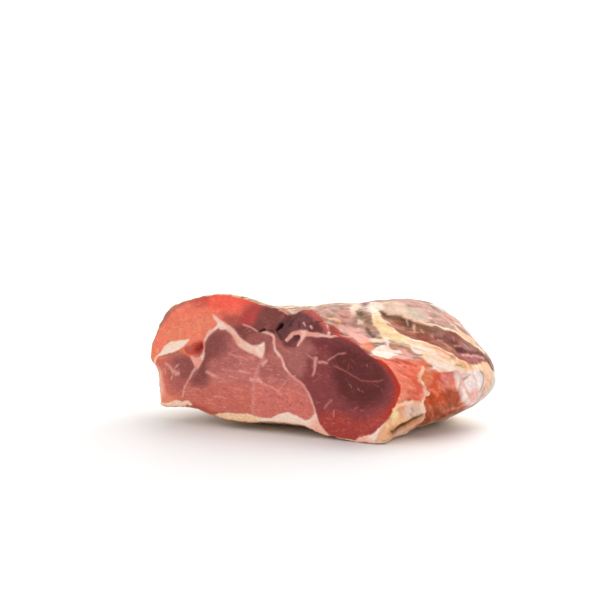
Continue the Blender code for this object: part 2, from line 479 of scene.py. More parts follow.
    def lay_fat(self, *rows: tuple) -> None:
        """Lays patches of fat one after another.

        Args:
            *rows: A tone, a rise in mm and an outline for each.
        """
        for tone, rise, outline in rows:
            self.fatten(self.patch(outline), tone, rise)

    def thin(self, cover: np.ndarray) -> None:
        """Takes the fat away under a cover, for lean that lies over it."""
        self.fat = np.minimum(self.fat, -cover)

    def lift(self, cover: np.ndarray, rise: float, feather: float) -> None:
        """Raises the surface under a cover, or sinks it.

        Args:
            cover: How far each point lies inside what is raised, in mm.
            rise: How far it is raised, in mm, negative to sink it.
            feather: The width over which it comes up, in mm.
        """
        self.rise += rise * soft_edge(cover, feather)

    def crevice(self, line: list, start: float, end: float, depth: float) -> None:
        """Cuts a gap where muscles have drawn apart, and paints shade into it.

        Args:
            line: The chart points that it follows.
            start: Its width at the start, in mm.
            end: Its width at the end, in mm.
            depth: How deep it goes, in mm.
        """
        clearing = 0.3  # how far beyond the gap the fat ends, in mm
        cover = self.stroke(line, start, end)
        self.thin(cover + clearing)
        # painted shade inside the gap
        self.wash(cover, Tone.GAP_SHADE, feather=1.2)
        self.lift(cover, -depth, feather=1.6)

    def marble(self, outline: list, count: int, seed: int, heading: float, tone: Tone,
               length: tuple[float, float], width: tuple[float, float], spread: float = 24.0) -> None:
        """Scatters fine streaks over a patch.

        Args:
            outline: The chart points that the patch's edge passes through.
            count: How many streaks there are.
            seed: What the random draw starts from.
            heading: Which way most of them run, in degrees from the chart's first axis.
            tone: Their colour.
            length: The least and most length, in mm.
            width: The least and most width, in mm.
            spread: How far their headings stray, in degrees.
        """
        draw = np.random.default_rng(seed)
        edge = smooth_curve(outline, closed=True)
        low, high = edge.min(axis=0), edge.max(axis=0)
        placed = 0
        while placed < count:
            middle = draw.uniform(low, high)
            turn = math.radians(heading + draw.normal(0.0, spread))
            reach = draw.uniform(*length)
            bend = draw.normal(0.0, FLECK_BEND)
            thick = draw.uniform(*width)
            if not inside_outline(middle[None, :], edge)[0]:
                continue
            run = 0.5 * reach * np.array((math.cos(turn), math.sin(turn)))
            side = bend * np.array((-run[1], run[0]))
            line = [middle - run, middle + side, middle + run]
            cover = self.stroke(line, thick, FLECK_TAPER * thick, margin=4.0)
            self.wash(cover, tone, feather=0.9, strength=draw.uniform(*FLECK_STRENGTH))
            placed += 1


@dataclass
class CutFace(Canvas):
    """The flat cut across the muscles, charted by x and z in mm."""

    def paint(self) -> None:
        """Paints the muscles from back to front, then the marbling, the fat between them and the gaps."""
        self.paint_flap()
        self.paint_small_muscles()
        self.paint_centre()
        self.paint_thigh()
        self.paint_round_muscle()
        self.paint_marbling()
        self.paint_seams()
        self.paint_streaks()
        self.paint_rind_edge()
        self.paint_pocket()
        self.paint_gaps()

    def paint_flap(self) -> None:
        """The flap over the top left: thin, moist and lit through, so it is painted orange where it is
        thinnest, with a painted highlight along its top, where it curves over towards the light.
        """
        self.tint_patches(
            (Tone.FLAP, 3, 1, [(-122, 40), (-118, 66), (-108, 90), (-90, 104), (-66, 112), (-30, 112),
             (-14, 106), (-22, 94), (-33, 86), (-40, 80), (-49, 76), (-56, 70), (-60, 64), (-70, 62),
             (-80, 60), (-92, 55), (-104, 46)]),
            (Tone.FLAP_PALE, 12, 0.7, [(-100, 70), (-92, 60), (-70, 66), (-56, 74), (-46, 82), (-54, 88),
             (-76, 86), (-94, 80)]),
            (Tone.FLAP_RED, 9, 0.1, [(-90, 88), (-78, 82), (-62, 82), (-50, 88), (-60, 95), (-78, 96)]),
            # a painted highlight along the flap's top edge
            (Tone.FLAP_TOP_HIGHLIGHT, 11, 1, [(-66, 112), (-60, 97), (-49, 91), (-37, 92.5), (-25, 94), (-14, 99),
             (-16, 112)]),
            (Tone.CRIMSON, 11, 1, [(-44, 89), (-28, 90), (-24, 96), (-10, 101), (-5, 95), (-8, 84), (-18, 80),
             (-30, 84)]),
            (Tone.CRIMSON, 5, 0.6, [(-75, 103), (-60, 105), (-57, 98), (-66, 94), (-75, 97)]),
            (Tone.BROWN_RED, 6, 0.9, [(-43, 87), (-30, 88), (-19, 81), (-11, 77), (-8, 70), (-17, 68),
             (-28, 74), (-36, 80)]),
        )
        self.tint_streaks(
            (Tone.TAN_EDGE, 5, 0.8, [(-112, 60), (-108, 70), (-104, 78), (-101, 85), (-98, 91)]),
            (Tone.MAUVE_PINK, 6, 0.75, [(-103, 80), (-97.5, 87), (-88, 94.5), (-78, 100), (-68, 103.5),
             (-57, 105.5)]),
            (Tone.ORANGE, 8, 0.9, [(-113, 58), (-111, 50), (-107, 46)]),
        )

    def paint_small_muscles(self) -> None:
        """The dried muscle beside the flap, and the small one of the shank side."""
        self.tint_patches(
            (Tone.MAUVE, 6, 1, [(-32, 80), (-24, 83), (-14, 83), (-10, 92), (-3, 99), (8, 97), (12, 88),
             (10, 78), (4, 74), (0, 66), (-6, 66), (-12, 67), (-20, 70), (-27, 75)]),
            (Tone.MAUVE_SOFT, 5, 0.9, [(-16, 76), (-6, 77.5), (2, 74), (3, 66), (-2, 62), (-8, 66),
             (-20, 70)]),
            (Tone.CORAL, 2, 1, [(-110, 44), (-100, 51), (-92, 55), (-84, 57), (-74, 57), (-67, 52), (-65, 48),
             (-73, 37), (-80, 27), (-86, 8), (-108, 6)]),
            (Tone.MAUVE_SOFT, 8, 0.8, [(-94, 50), (-82, 54), (-73, 53), (-68, 46), (-73, 37), (-79, 27),
             (-88, 26), (-94, 38)]),
            (Tone.MAUVE, 7, 0.6, [(-90, 51), (-82, 54), (-73, 53), (-69, 46), (-74, 39), (-82, 37)]),
            (Tone.RIM_PEACH, 6, 0.9, [(-108, 42), (-102, 42), (-100, 34), (-97, 22), (-96, 10), (-110, 8)]),
            (Tone.FLAP_SOFT, 5, 0.9, [(-99, 24), (-90, 21), (-82, 21), (-76, 22.5), (-76, 12), (-100, 10)]),
        )

    def paint_centre(self) -> None:
        """The wide pink muscle in the middle, dried dark where it borders on the flap."""
        self.tint_patches(
            (Tone.PINK_LEAN, 1.6, 1, [(-59, 66), (-55, 72), (-48, 78), (-39, 79), (-33, 76), (-26, 69),
             (-19, 64), (-12, 61), (-6, 58), (0, 61), (6, 62), (11, 59), (14, 53), (18, 48), *CENTRE_TO_THIGH,
             (20, 8), (0, 4), (-40, 4), (-86, 8), (-80, 22), (-73, 37), (-65, 48), (-60, 57)]),
            (Tone.MAUVE, 9, 0.9, [(-60, 67), (-52, 76), (-40, 78), (-36, 72), (-38, 63), (-44, 56), (-54, 52),
             (-56, 46), (-55, 34), (-61, 26), (-68, 28), (-73, 36), (-64, 50)]),
            (Tone.MAUVE_SOFT, 12, 0.5, [(-40, 78), (-24, 66), (-24, 52), (-40, 44), (-54, 46), (-44, 60)]),
            (Tone.CORAL, 12, 0.9, [(-84, 24), (-60, 32), (-20, 36), (-14, 12), (-40, 4), (-88, 6)]),
            (Tone.DEEP_PINK, 10, 0.8, [(-14, 38), (10, 40), (34, 30), (42, 8), (0, 8), (-14, 14)]),
            (Tone.MAUVE_SOFT, 10, 0.6, [(-12, 56), (2, 60), (12, 54), (18, 44), (6, 38), (-8, 42)]),
        )

    def paint_thigh(self) -> None:
        """The large dark muscle at the right, glassy round its rim, whose red there is partly its own and
        partly a painted glow of light shining through the edge.
        """
        self.tint_patches(
            (Tone.BERRY, 1.6, 1, [(4, 62), (8, 61), (13, 54), (18, 49), *CENTRE_TO_THIGH, (60, -6), (100, -6),
             (120, 30), (120, 54), (104, 66), (86, 76), (70, 86), (52, 84), (47, 79), (39, 79), (31, 81),
             (22, 80), (13, 78), (4, 74)]),
            (Tone.MAUVE_PINK, 9, 0.9, [(4, 74), (20, 72), (36, 73), (40, 62), (34, 50), (26, 44), (14, 54),
             (6, 62)]),
            (Tone.BERRY, 8, 0.9, [(36, 64), (46, 60), (52, 44), (53, 30), (44, 20), (38, 34), (30, 44)]),
            (Tone.GARNET, 12, 1, [(55, 68), (63, 73), (73, 72), (82, 68), (92, 63), (99, 56), (101.5, 47),
             (99, 38), (91, 30), (80, 27), (70, 29), (62, 35), (57, 44), (55, 57)]),
            (Tone.PLUM, 6, 0.6, [(38, 74), (58, 77), (62, 72), (54, 68), (42, 70)]),
            (Tone.BRICK, 9, 0.75, [(44, 19), (58, 22), (70, 19), (83, 19), (95, 25), (103, 29), (106, 10),
             (90, -2), (50, -4)]),
        )
        self.tint_streaks(
            # the red round the rim: partly the lean's own colour, partly a painted glow of light through the
            # glassy edge
            (Tone.BRICK, 7, 0.9, [(98, 63), (106, 54), (109, 43), (106.5, 31), (100, 18)]),
            (Tone.RIM_RED, 4, 1, [(58, 80), (66, 79.5), (73, 77.5), (79, 74), (84, 70), (90, 66)]),
            (Tone.RIM_RED, 6.5, 1, [(105, 25), (109, 34), (111, 43), (109, 51), (103.5, 58), (97, 63),
             (90, 66)]),
            (Tone.BLOOD, 3, 0.3, [(101, 58), (105, 52), (106.5, 44), (105.5, 36)]),
        )
        foot = [(46, 22), (64, 26), (96, 26), (98, 8), (60, 6), (48, 10)]
        self.marble(foot, 30, 11, 14.0, Tone.BRICK_PALE, length=(2.0, 5.0), width=(0.6, 1.4))

    def paint_round_muscle(self) -> None:
        """The small round muscle that stands up between the flap and the thigh."""
        self.tint_patches(
            (Tone.AUBERGINE, 1.6, 1, [(10, 75), (9, 85), (13, 92), (19, 98), (26, 101), (34, 101), (41, 99),
             (46, 96), (51, 91), (51, 84), (48, 80), (43, 79.5), (36, 80), (30, 81.5), (24, 81), (18, 78)]),
            # painted shade darkens its left side, beside the gaps
            (Tone.BLACK_LEAN_AND_SHADE, 5, 0.45, [(9, 74), (9, 84), (14, 91), (20.5, 92.6), (21.4, 86), (17, 79), (13, 74)]),
            (Tone.BRICK_PALE, 5, 1, [(30, 101), (38, 99), (46, 95), (52, 89), (50, 81), (44, 87), (36, 93),
             (29, 96)]),
            (Tone.PLUM, 3, 0.8, [(35, 86), (43, 87), (47, 83), (42, 80), (36, 81)]),
            (Tone.PLUM, 4, 0.9, [(10.8, 73), (15.3, 76.3), (20.5, 72.8), (26.6, 71.7), (21.4, 68.3),
             (13.5, 68.6)]),
        )

    def paint_marbling(self) -> None:
        """The fine streaks of fat in the lean, each muscle's own way."""
        centre = [(-46, 46), (-36, 60), (-24, 64), (-8, 57), (10, 56), (36, 30), (38, 14), (0, 14), (-40, 14),
                  (-78, 22), (-68, 30)]
        flap = [(-108, 60), (-98, 84), (-66, 98), (-40, 96), (-44, 84), (-58, 72), (-76, 68), (-96, 60)]
        thigh_top = [(8, 70), (46, 74), (58, 68), (54, 40), (44, 22), (30, 48), (12, 62)]
        thigh_core = [(52, 68), (74, 72), (98, 54), (98, 34), (80, 24), (60, 28), (52, 44)]
        beside_flap = [(-30, 82), (-12, 84), (4, 94), (8, 78), (-4, 68), (-22, 72)]
        shank_side = [(-97, 48), (-86, 48), (-82, 38), (-92, 34), (-98, 40)]
        round_muscle = [(12, 84), (30, 98), (48, 88), (30, 84)]
        for outline, count, seed, heading, spread, tone, length, width in (
                (centre, 120, 3, -2.0, 8.0, Tone.ROSE_FAT, (2.0, 8.0), (0.5, 0.9)),
                (centre, 50, 4, 20.0, 30.0, Tone.MAUVE_SOFT, (2.0, 6.0), (0.8, 1.8)),
                (flap, 24, 5, 32.0, 24.0, Tone.PEACH_FAT, (2.0, 6.0), (0.4, 0.8)),
                (flap, 24, 6, 24.0, 24.0, Tone.FLAP_RED, (3.0, 8.0), (1.0, 3.0)),
                (thigh_top, 40, 7, 4.0, 18.0, Tone.ROSE, (1.6, 4.0), (0.4, 0.8)),
                (thigh_core, 40, 8, -20.0, 40.0, Tone.BERRY, (2.0, 6.0), (0.6, 1.4)),
                (beside_flap, 26, 9, 12.0, 24.0, Tone.MAUVE_PINK, (1.6, 5.0), (0.4, 0.9)),
                (shank_side, 14, 13, 70.0, 24.0, Tone.PINK_FAT, (2.0, 5.0), (0.5, 1.0)),
                (round_muscle, 14, 17, 40.0, 24.0, Tone.BLACK_LEAN_AND_SHADE, (2.0, 5.0), (0.8, 1.6))):
            self.marble(outline, count, seed, heading, tone, length, width, spread)

    def paint_seams(self) -> None:
        """The fat that runs between the muscles."""
        self.lay_fat(
            (Tone.SEAM, 0.25, [(-51.5, 88.5), (-48, 87), (-44.5, 84.6), (-41.7, 82.8), (-36, 81), (-32.5, 79),
             (-28.4, 75.4), (-23.8, 71.2), (-19.2, 67.8), (-12.4, 66.4), (-7.5, 68.4), (-4, 70.6), (-3.6, 66),
             (-4.4, 62), (-7, 58.6), (-11.6, 60), (-17, 62), (-21.5, 63.4), (-26.1, 65.8), (-30.6, 70.6),
             (-34.3, 75.7), (-39, 77.8), (-44.5, 78), (-46.8, 80.5), (-47.3, 83.6), (-50, 85.8)]),
            (Tone.PINK_FAT, 0.1, [(-72.6, 54.4), (-67.3, 54), (-63.5, 55.4), (-61, 59.2), (-59.2, 59.3),
             (-60.2, 54.5), (-63, 49.5), (-66.4, 45.7), (-69.3, 49)]),
            (Tone.PINK_FAT, 0.2, [(14.6, 73.6), (17, 75.8), (20.5, 78.9), (24.9, 80.4), (29.2, 80.9),
             (32.7, 81.2), (37.9, 80.3), (44.8, 79.9), (53.3, 79.4), (63.4, 79.1), (60, 78.1), (47.3, 78),
             (43.1, 77.1), (39.6, 77.4), (34.4, 77.2), (31, 75), (28.4, 71.6), (25.2, 69), (24.5, 70.2),
             (27, 73), (28, 76), (26.4, 77.4), (22.3, 77.1), (18.6, 74.4), (15.6, 72.6)]),
        )
        self.lay_seams(
            (Tone.PINK_FAT, 2.4, 1.6, [(-45.9, 80.6), (-50, 78), (-54.8, 74.6), (-58.6, 70.4), (-60, 66.4)]),
            (Tone.ROSE_FAT, 1.6, 1.2, [(-60, 66.4), (-59.8, 62.4), (-60.6, 58.4)]),
            (Tone.ROSE_FAT, 1.0, 0.5, [(-67.4, 46.8), (-71.2, 41.7), (-74.2, 36.7), (-78, 29.2),
             (-81, 22.5)]),
            (Tone.PINK_FAT, 1.5, 1.7, [(-6, 78.6), (-0.7, 77.6), (3.7, 75.6), (4.6, 70.3), (5.5, 65),
             (8.6, 61.4)]),
            (Tone.PINK_FAT, 2.1, 1.1, [(8.6, 61.4), (10.8, 59.2), (13.5, 53.3), (17.9, 48.2)]),
            (Tone.ROSE_FAT, 1.1, 1.2, [(17.9, 48.2), (24, 43.7), (30, 39.6), (34.5, 35), (37.5, 29),
             (39.7, 23.2)]),
            (Tone.PINK_FAT, 1.3, 2.2, [(39.7, 23.2), (41, 18), (43, 12.9), (47.5, 7)]),
            (Tone.ROSE_FAT, 0.6, 1.0, [(-23.3, 83.4), (-18.7, 81.7), (-13.3, 80), (-9.4, 78.6)]),
            (Tone.PINK_FAT, 1.0, 2.0, [(50.4, 91.6), (52.6, 88), (52.6, 85), (51.2, 80)]),
        )
        self.tint_inside([(-18, 72), (0, 74), (0, 56), (-12, 54), (-16, 62)], Tone.WHITE_FAT, 0.9)
        self.tint_inside([(-58, 92), (-40, 90), (-30, 76), (-38, 72), (-52, 74)], Tone.WHITE_FAT, 0.5)
        under_seam = [(-28, 68.6), (-20, 64.4), (-12, 62), (-7, 59)]
        self.tint_fat(self.stroke(under_seam, 2.4), Tone.PINK_FAT, 3.0, 0.7)
        level = np.full(len(self.places), 11.0)  # any third coordinate: the ripple needs one
        patchy = PATTERN_REACH * ripple(np.column_stack([self.places, level]), length=7.0)
        self.tint_fat(np.minimum(patchy, self.fat), Tone.ROSE_FAT, 3.0, 0.35)
        self.tint_fat(np.minimum(-patchy - 1.0, self.fat), Tone.WHITE_FAT, 3.0, 0.3)
        down = [(-5.2, 58.1), (-8.9, 53.2), (-11.6, 46.8), (-13.4, 38.9), (-14.4, 28.7), (-14.4, 15)]
        self.wash(self.stroke(down, 3.0), Tone.ROSE_FAT, 2.4, 0.45)

    def paint_streaks(self) -> None:
        """The short streaks and spots of fat inside the muscles."""
        self.tint_streaks(
            (Tone.ROSE_FAT, 1.4, 0.65, [(-36.3, 60), (-31.7, 57.9), (-25.2, 56.8), (-18.8, 55.3)]),
            (Tone.PINK_FAT, 1.6, 0.65, [(-26.2, 47), (-21.6, 46.5), (-17, 46)]),
            (Tone.ROSE_FAT, 1.3, 0.65, [(-45.7, 39.6), (-40, 38)]),
            (Tone.ROSE_FAT, 1.3, 0.65, [(-36.4, 41.9), (-29, 40.9)]),
            (Tone.ROSE_FAT, 1.3, 0.55, [(-41.9, 47), (-33.6, 46)]),
            (Tone.ROSE_FAT, 1.2, 0.55, [(-29, 31.5), (-19.8, 32.2)]),
            (Tone.ROSE_FAT, 1.3, 0.65, [(-49.5, 25), (-42, 24.9)]),
            (Tone.PINK_FAT, 3.0, 0.85, [(-5.7, 53.5), (-4.4, 54.7), (-2.6, 56.4)]),
            (Tone.PINK_FAT, 2.4, 0.85, [(-16.2, 41), (-13.4, 40.5)]),
            (Tone.PINK_FAT, 2.4, 0.85, [(-9.8, 41.2), (-6.7, 39.5)]),
            (Tone.ROSE_FAT, 1.8, 0.9, [(-10.7, 39.9), (-6.2, 37.9), (1, 36.2), (4.6, 34.9), (8, 32.9),
             (10.8, 31)]),
            (Tone.ROSE_FAT, 1.3, 0.55, [(8, 32.9), (11.7, 36.2), (15.2, 41)]),
            (Tone.PINK_FAT, 2.2, 0.65, [(41.8, 60.9), (40.9, 56.7), (40, 52), (38.8, 48.2)]),
            (Tone.ROSE_FAT, 1.6, 0.65, [(41.4, 60), (37.9, 61), (34.5, 63)]),
            (Tone.PINK_FAT, 1.8, 0.65, [(43.9, 57.7), (47.4, 57.9), (50.8, 57.4)]),
            (Tone.ROSE_FAT, 1.2, 0.65, [(51.6, 59.7), (55.9, 63), (60, 65), (66, 66.6)]),
            (Tone.ROSE, 1.2, 0.55, [(56.7, 56.3), (61.8, 54.8), (68.5, 52.6), (73.6, 49.3), (80.2, 47.2),
             (88.5, 47), (97.5, 48.5)]),
            (Tone.ROSE_FAT, 1.3, 0.45, [(48.3, 23.9), (51.7, 27.3), (55, 30.2)]),
            (Tone.ROSE_FAT, 1.2, 0.6, [(56.8, 22.4), (56.8, 17)]),
            (Tone.ORANGE, 1.6, 0.3, [(9, 68.3), (14.4, 65.6), (20.5, 63.3)]),
            (Tone.PINK_FAT, 2.4, 0.6, [(-57.4, 43.8), (-53.2, 42.2), (-47.6, 40.4)]),
            (Tone.PINK_FAT, 2.8, 0.55, [(-95.9, 47.2), (-92.5, 45.2), (-89, 42), (-84.7, 40.6)]),
            (Tone.RIM_PEACH, 2.2, 0.65, [(7.3, 96.5), (10.9, 95), (15.3, 93)]),
        )
        for x, z, size, strength in ((71, 42.4, 1, 0.25), (77.8, 40.3, 1.1, 0.25), (81, 39, 0.8, 0.25),
                                     (85, 58.3, 1, 0.25), (37.2, 84.8, 1.8, 0.9), (31.3, 86, 1.4, 0.9)):
            spot = self.stroke([(x - 0.8, z + 0.6), (x, z), (x + 0.6, z - 0.9)], size, 0.6 * size)
            self.wash(spot, Tone.PINK_FAT, 1.0, strength)

    def paint_rind_edge(self) -> None:
        """The layer of fat under the skin, where the cut meets it."""
        self.lay_fat(
            (Tone.WHITE_FAT, 0.2, [(-51, 8), (-46, 11.4), (-33.7, 12.2), (-21.8, 12.9), (-9.9, 12.3),
             (-0.9, 11.2), (2.7, 11.9), (6.3, 14), (10.8, 16.5), (17, 17.4), (23, 16.4), (28.4, 15),
             (32.7, 13), (37, 15), (39.7, 17.9), (41.4, 17.3), (43, 13.6), (45.7, 8.6), (50, 5), (56, 2.4),
             (66, 0.8), (74, 1.4), (78, 3.8), (82.1, 5.4), (88, 8), (94.4, 12.3), (99.3, 18), (104, 22),
             (112, 20), (106, -8), (40, -8), (-46, -2)]),
            (Tone.CREAM, 0.2, [(-108, 15), (-102.6, 15.4), (-92.8, 16.7), (-87, 18.4), (-81, 18.6),
             (-76, 19.2), (-71, 16.6), (-74, 15.6), (-78, 15.4), (-84, 8), (-108, 6)]),
            (Tone.PEACH_FAT, 0.0, [(102, 21.4), (104.1, 24.5), (107.3, 29.4), (114, 29), (112, 12), (98, -6),
             (90, 0), (97, 12)]),
        )
        self.fatten(self.stroke([(107, 27), (105, 21), (101, 15)], 3.6, 2.0), Tone.YELLOW_FAT)
        self.tint_inside([(-60, 16), (-12, 16), (-16, -8), (-60, -8)], Tone.YELLOW_DEEP, 0.7)
        # the fat under the thigh is tinted a bright peach: partly its own colour, partly painted light in
        # place of light bounced up onto it
        self.tint_inside([(40, 16), (60, 12), (84, 8), (84, -8), (40, -8)], Tone.RIM_PEACH, 0.9)
        self.tint_inside([(4, 15), (40, 13), (40, -8), (4, -8)], Tone.PEACH_FAT, 0.15)
        self.wash(self.stroke([(-76, 17), (-68, 15.4), (-58, 12.6), (-49, 11)], 3.0), Tone.BAND_RED, 4.0, 0.6)
        tip = [(52.8, 86.8), (55.8, 88), (59.2, 85), (63.4, 82), (65.9, 79), (60.9, 78.6), (55.8, 80),
               (53.3, 83)]
        self.wash(self.patch(tip), Tone.RIM_RED, 2.0, 0.9)

    def tint_inside(self, outline: list, tone: Tone, strength: float) -> None:
        """Tints a stretch of fat and none of the lean, fading in slowly along the fat.

        Args:
            outline: The chart points that the stretch's edge passes through.
            tone: The colour.
            strength: How much of it shows.
        """
        self.tint_fat(np.minimum(SLOW_FADE * self.patch(outline), self.fat), tone, 3.0, strength)

    def paint_pocket(self) -> None:
        """The pocket of white fat under the flap, with the blood spot beside it, sunk into a small hole with
        painted shade in its deepest part.
        """
        self.tint_patches(
            (Tone.ORANGE, 4, 0.8, [(-84, 60), (-77, 56), (-70, 54), (-66, 56), (-72, 60)]),
            (Tone.RIM_RED, 3, 0.8, [(-78.8, 61.2), (-73, 64.4), (-67.2, 67), (-60.6, 67.8), (-58.7, 64),
             (-61.6, 59), (-68.3, 56.3), (-75, 56)]),
            (Tone.ROSE, 3, 0.5, [(-78, 61), (-73, 64), (-70, 62), (-73, 58)]),
        )
        core = self.patch([(-68.6, 59.6), (-67, 64.2), (-61.5, 66), (-60.4, 63), (-64, 60), (-66, 58)])
        self.wash(core, Tone.BLOOD, 3.0, 0.7)
        self.lift(core, -1.4, 3.0)
        # painted shade in the deepest part of the spot's hole
        self.wash(self.stroke([(-66.4, 60.6), (-64.4, 62.4), (-63, 64.2)], 1.2), Tone.GAP_SHADE, 1.8, 0.5)
        pocket = [(-103.5, 53), (-101.6, 56.5), (-97.4, 61.5), (-91.8, 64.4), (-84.5, 66), (-78.7, 67.2),
                  (-74.6, 68.4), (-76.8, 65.6), (-80.8, 61.4), (-88.5, 57.8), (-95.3, 55.6)]
        self.fatten(self.patch(pocket), Tone.WHITE_FAT, 0.3)
        self.tint_inside([(-104, 60), (-94, 68), (-72, 72), (-78, 66), (-88, 61), (-99, 56)], Tone.CREAM, 0.6)
        under = [(-102.2, 53.3), (-96.3, 54.6), (-90.4, 55.6), (-84.6, 57)]
        self.wash(self.stroke(under, 2.2, 1.4), Tone.OLIVE, 2.0, 0.8)
        self.fatten(self.stroke([(-108.4, 46), (-106.2, 51.4), (-103, 54.4)], 1.8, 1.6), Tone.CREAM)

    def paint_gaps(self) -> None:
        """The small gaps between the muscles, with painted shade in them and on the lean beside them, and a
        dark red streak.
        """
        self.crevice([(-8.8, 78.2), (-7, 79.2), (-4.3, 80)], 1.2, 1.8, 3.0)
        self.crevice([(-1.2, 79.8), (2, 80), (4.2, 78.6)], 0.6, 0.6, 0.6)
        self.crevice([(10.4, 84.8), (8.2, 82.4), (6.4, 80.4)], 2.8, 1.6, 4.0)
        # painted shade on the lean beside the gap
        self.wash(self.stroke([(7, 79), (9, 76), (10.6, 73)], 2.0), Tone.BLACK_LEAN_AND_SHADE, 2.0, 0.8)
        self.wash(self.stroke([(9, 94), (13.5, 91.5), (17, 89.4)], 1.6), Tone.BLOOD, 2.0, 0.8)
        # a small hollow, sunk and darkened with painted shade
        hollow = self.patch([(18.3, 75.7), (21.4, 79), (27.4, 79.4), (27.8, 76.3), (24.9, 72.9),
                             (19.6, 72.8)])
        self.wash(hollow, Tone.BLACK_LEAN_AND_SHADE, 3.0, 0.8)
        self.lift(hollow, -1.0, 2.5)


@dataclass
class OuterSurface(Canvas):
    """Everything behind the rim, which is charted by turn and depth.

    Attributes:
        along: The places again, unrolled so that the third coordinate runs with the fibres, in mm.
        skin: For each point, how far it lies inside the rind, in mm.
    """

    along: np.ndarray
    skin: np.ndarray = field(init=False)
    tree: kdtree.KDTree = field(init=False)

    def __post_init__(self) -> None:
        """Starts from dried skin, and makes the look-up from chart points to places."""
        super().__post_init__()
        self.tone[:] = linear(Tone.SKIN.value)
        self.tree = kdtree.KDTree(len(self.chart))
        for i, (turn, depth) in enumerate(self.chart):
            self.tree.insert((turn * MM_PER_DEGREE, depth, 0.0), i)
        self.tree.balance()

    def locate(self, line: np.ndarray) -> np.ndarray:
        """Finds the places of a line's chart points on the surface.

        Args:
            line: The line's chart points.

        Returns:
            The places, in mm, close enough together to follow the surface.
        """
        fine = [line[0]]
        for start, end in zip(line, line[1:]):
            span = (end - start) * (MM_PER_DEGREE, 1.0)
            steps = max(1, int(np.linalg.norm(span) / 4.0))
            fine += [start + (end - start) * (i + 1) / steps for i in range(steps)]
        found = []
        for turn, depth in fine:
            turn = (turn + 180.0) % 360.0 - 180.0
            near = self.tree.find_n((turn * MM_PER_DEGREE, depth, 0.0), 3)
            found.append(np.mean([self.places[i] for _, i, _ in near], axis=0))
        return np.array(found)

    def streaks(self, width: float, length: float, seed: int) -> np.ndarray:
        """Makes a random number that changes fast across the fibres and slowly along them.

        Args:
            width: How far apart its changes are across the fibres, in mm.
            length: How far apart they are along them, in mm.
            seed: A number that tells one pattern from another.

        Returns:
            A number from about -1 to 1 for each point.
        """
        return 2.0 * ripple(self.along / (width, width, length) + 31.7 * seed, 1.0)

    def hidden(self) -> np.ndarray:
        """Tells how far each point lies, in mm, past the side that is painted with listed outlines."""
        turn, depth = self.chart.T
        above = (turn - TOP_PAINTED) * MM_PER_DEGREE
        below = (FOOT_PAINTED - turn) * MM_PER_DEGREE
        return np.maximum.reduce([above, below, depth - DEPTH_PAINTED])

    def weave(self, cover: np.ndarray, rows: tuple) -> None:
        """Streaks lean and fat alike along the fibres, under a cover.

        Args:
            cover: How far each point lies inside what is streaked, in mm.
            rows: For each kind of streak a seed, its width and length in mm, the level from -1 to 1 that
                the pattern must pass, a tone and a strength.
        """
        for seed, width, length, level, tone, strength in rows:
            streaks = PATTERN_REACH * (self.streaks(width, length, seed) - level)
            self.tint_fat(np.minimum(streaks, cover), tone, 4.0, strength)

    def paint(self) -> None:
        """Paints the hidden sides first, then the top, and the side beside the cut from back to front."""
        self.paint_dried_lean()
        self.paint_rind()
        self.paint_shoulder()
        self.paint_fat_band()
        self.paint_trimmed_side()
        self.paint_flap_of_skin()
        self.paint_thigh_end()
        self.paint_bone_opening()
        self.paint_rim()

    def paint_dried_lean(self) -> None:
        """The top and the back: lean and fat that dried in long strands, creased where they shrank apart."""
        hidden = self.hidden()
        self.weave(hidden, (
            (1, 9, 45, 0.00, Tone.SKIN_PINK, 0.8),
            (2, 7, 40, 0.20, Tone.SKIN_MAUVE, 0.8),
            (3, 13, 60, 0.25, Tone.SKIN_GREY, 0.7),
            (4, 6, 36, 0.40, Tone.SKIN_BROWN, 0.7),
            (5, 12, 34, 0.65, Tone.OLIVE, 0.7),
            (6, 15, 50, 0.65, Tone.MULBERRY, 0.5),
        ))
        behind_cut = self.chart[:, 1]
        self.weave(behind_cut, (
            (13, 4, 16, 0.35, Tone.SKIN_BROWN, 0.5),
            (14, 3.6, 20, 0.40, Tone.CREAM, 0.5),
            (15, 4, 14, 0.50, Tone.OLIVE, 0.5),
        ))
        swell = 0.5 * self.streaks(width=8, length=60, seed=7)
        self.rise += swell * ramp(-10.0, 10.0, hidden)
        # In what follows a number before a pattern turns its level to a distance in mm
        creases = 12.0 * (0.08 - np.abs(self.streaks(width=14, length=70, seed=8)))
        creases = np.minimum(creases, hidden)
        # the creases are darkened with painted shade as well as sunk
        self.wash(creases, Tone.SKIN_BROWN, feather=1.6, strength=0.6)
        self.lift(creases, -0.6, feather=2.0)
        islands = 12.0 * (self.streaks(width=13, length=40, seed=16) - 0.78)
        self.fatten(np.minimum(islands, hidden), Tone.CREAM, rise=0.3)
        breaks = 3.0 * ramp(0.2, -0.2, self.streaks(width=34, length=50, seed=11))
        seams = 14.0 * (0.05 - np.abs(self.streaks(width=22, length=70, seed=10))) - breaks
        self.fatten(np.minimum(seams, hidden), Tone.CREAM, rise=0.3)
        yellowed = np.minimum(20.0 * self.streaks(width=20, length=50, seed=12), self.fat + 4.0)
        self.tint_fat(yellowed, Tone.YELLOW_FAT, feather=12.0, strength=0.5)

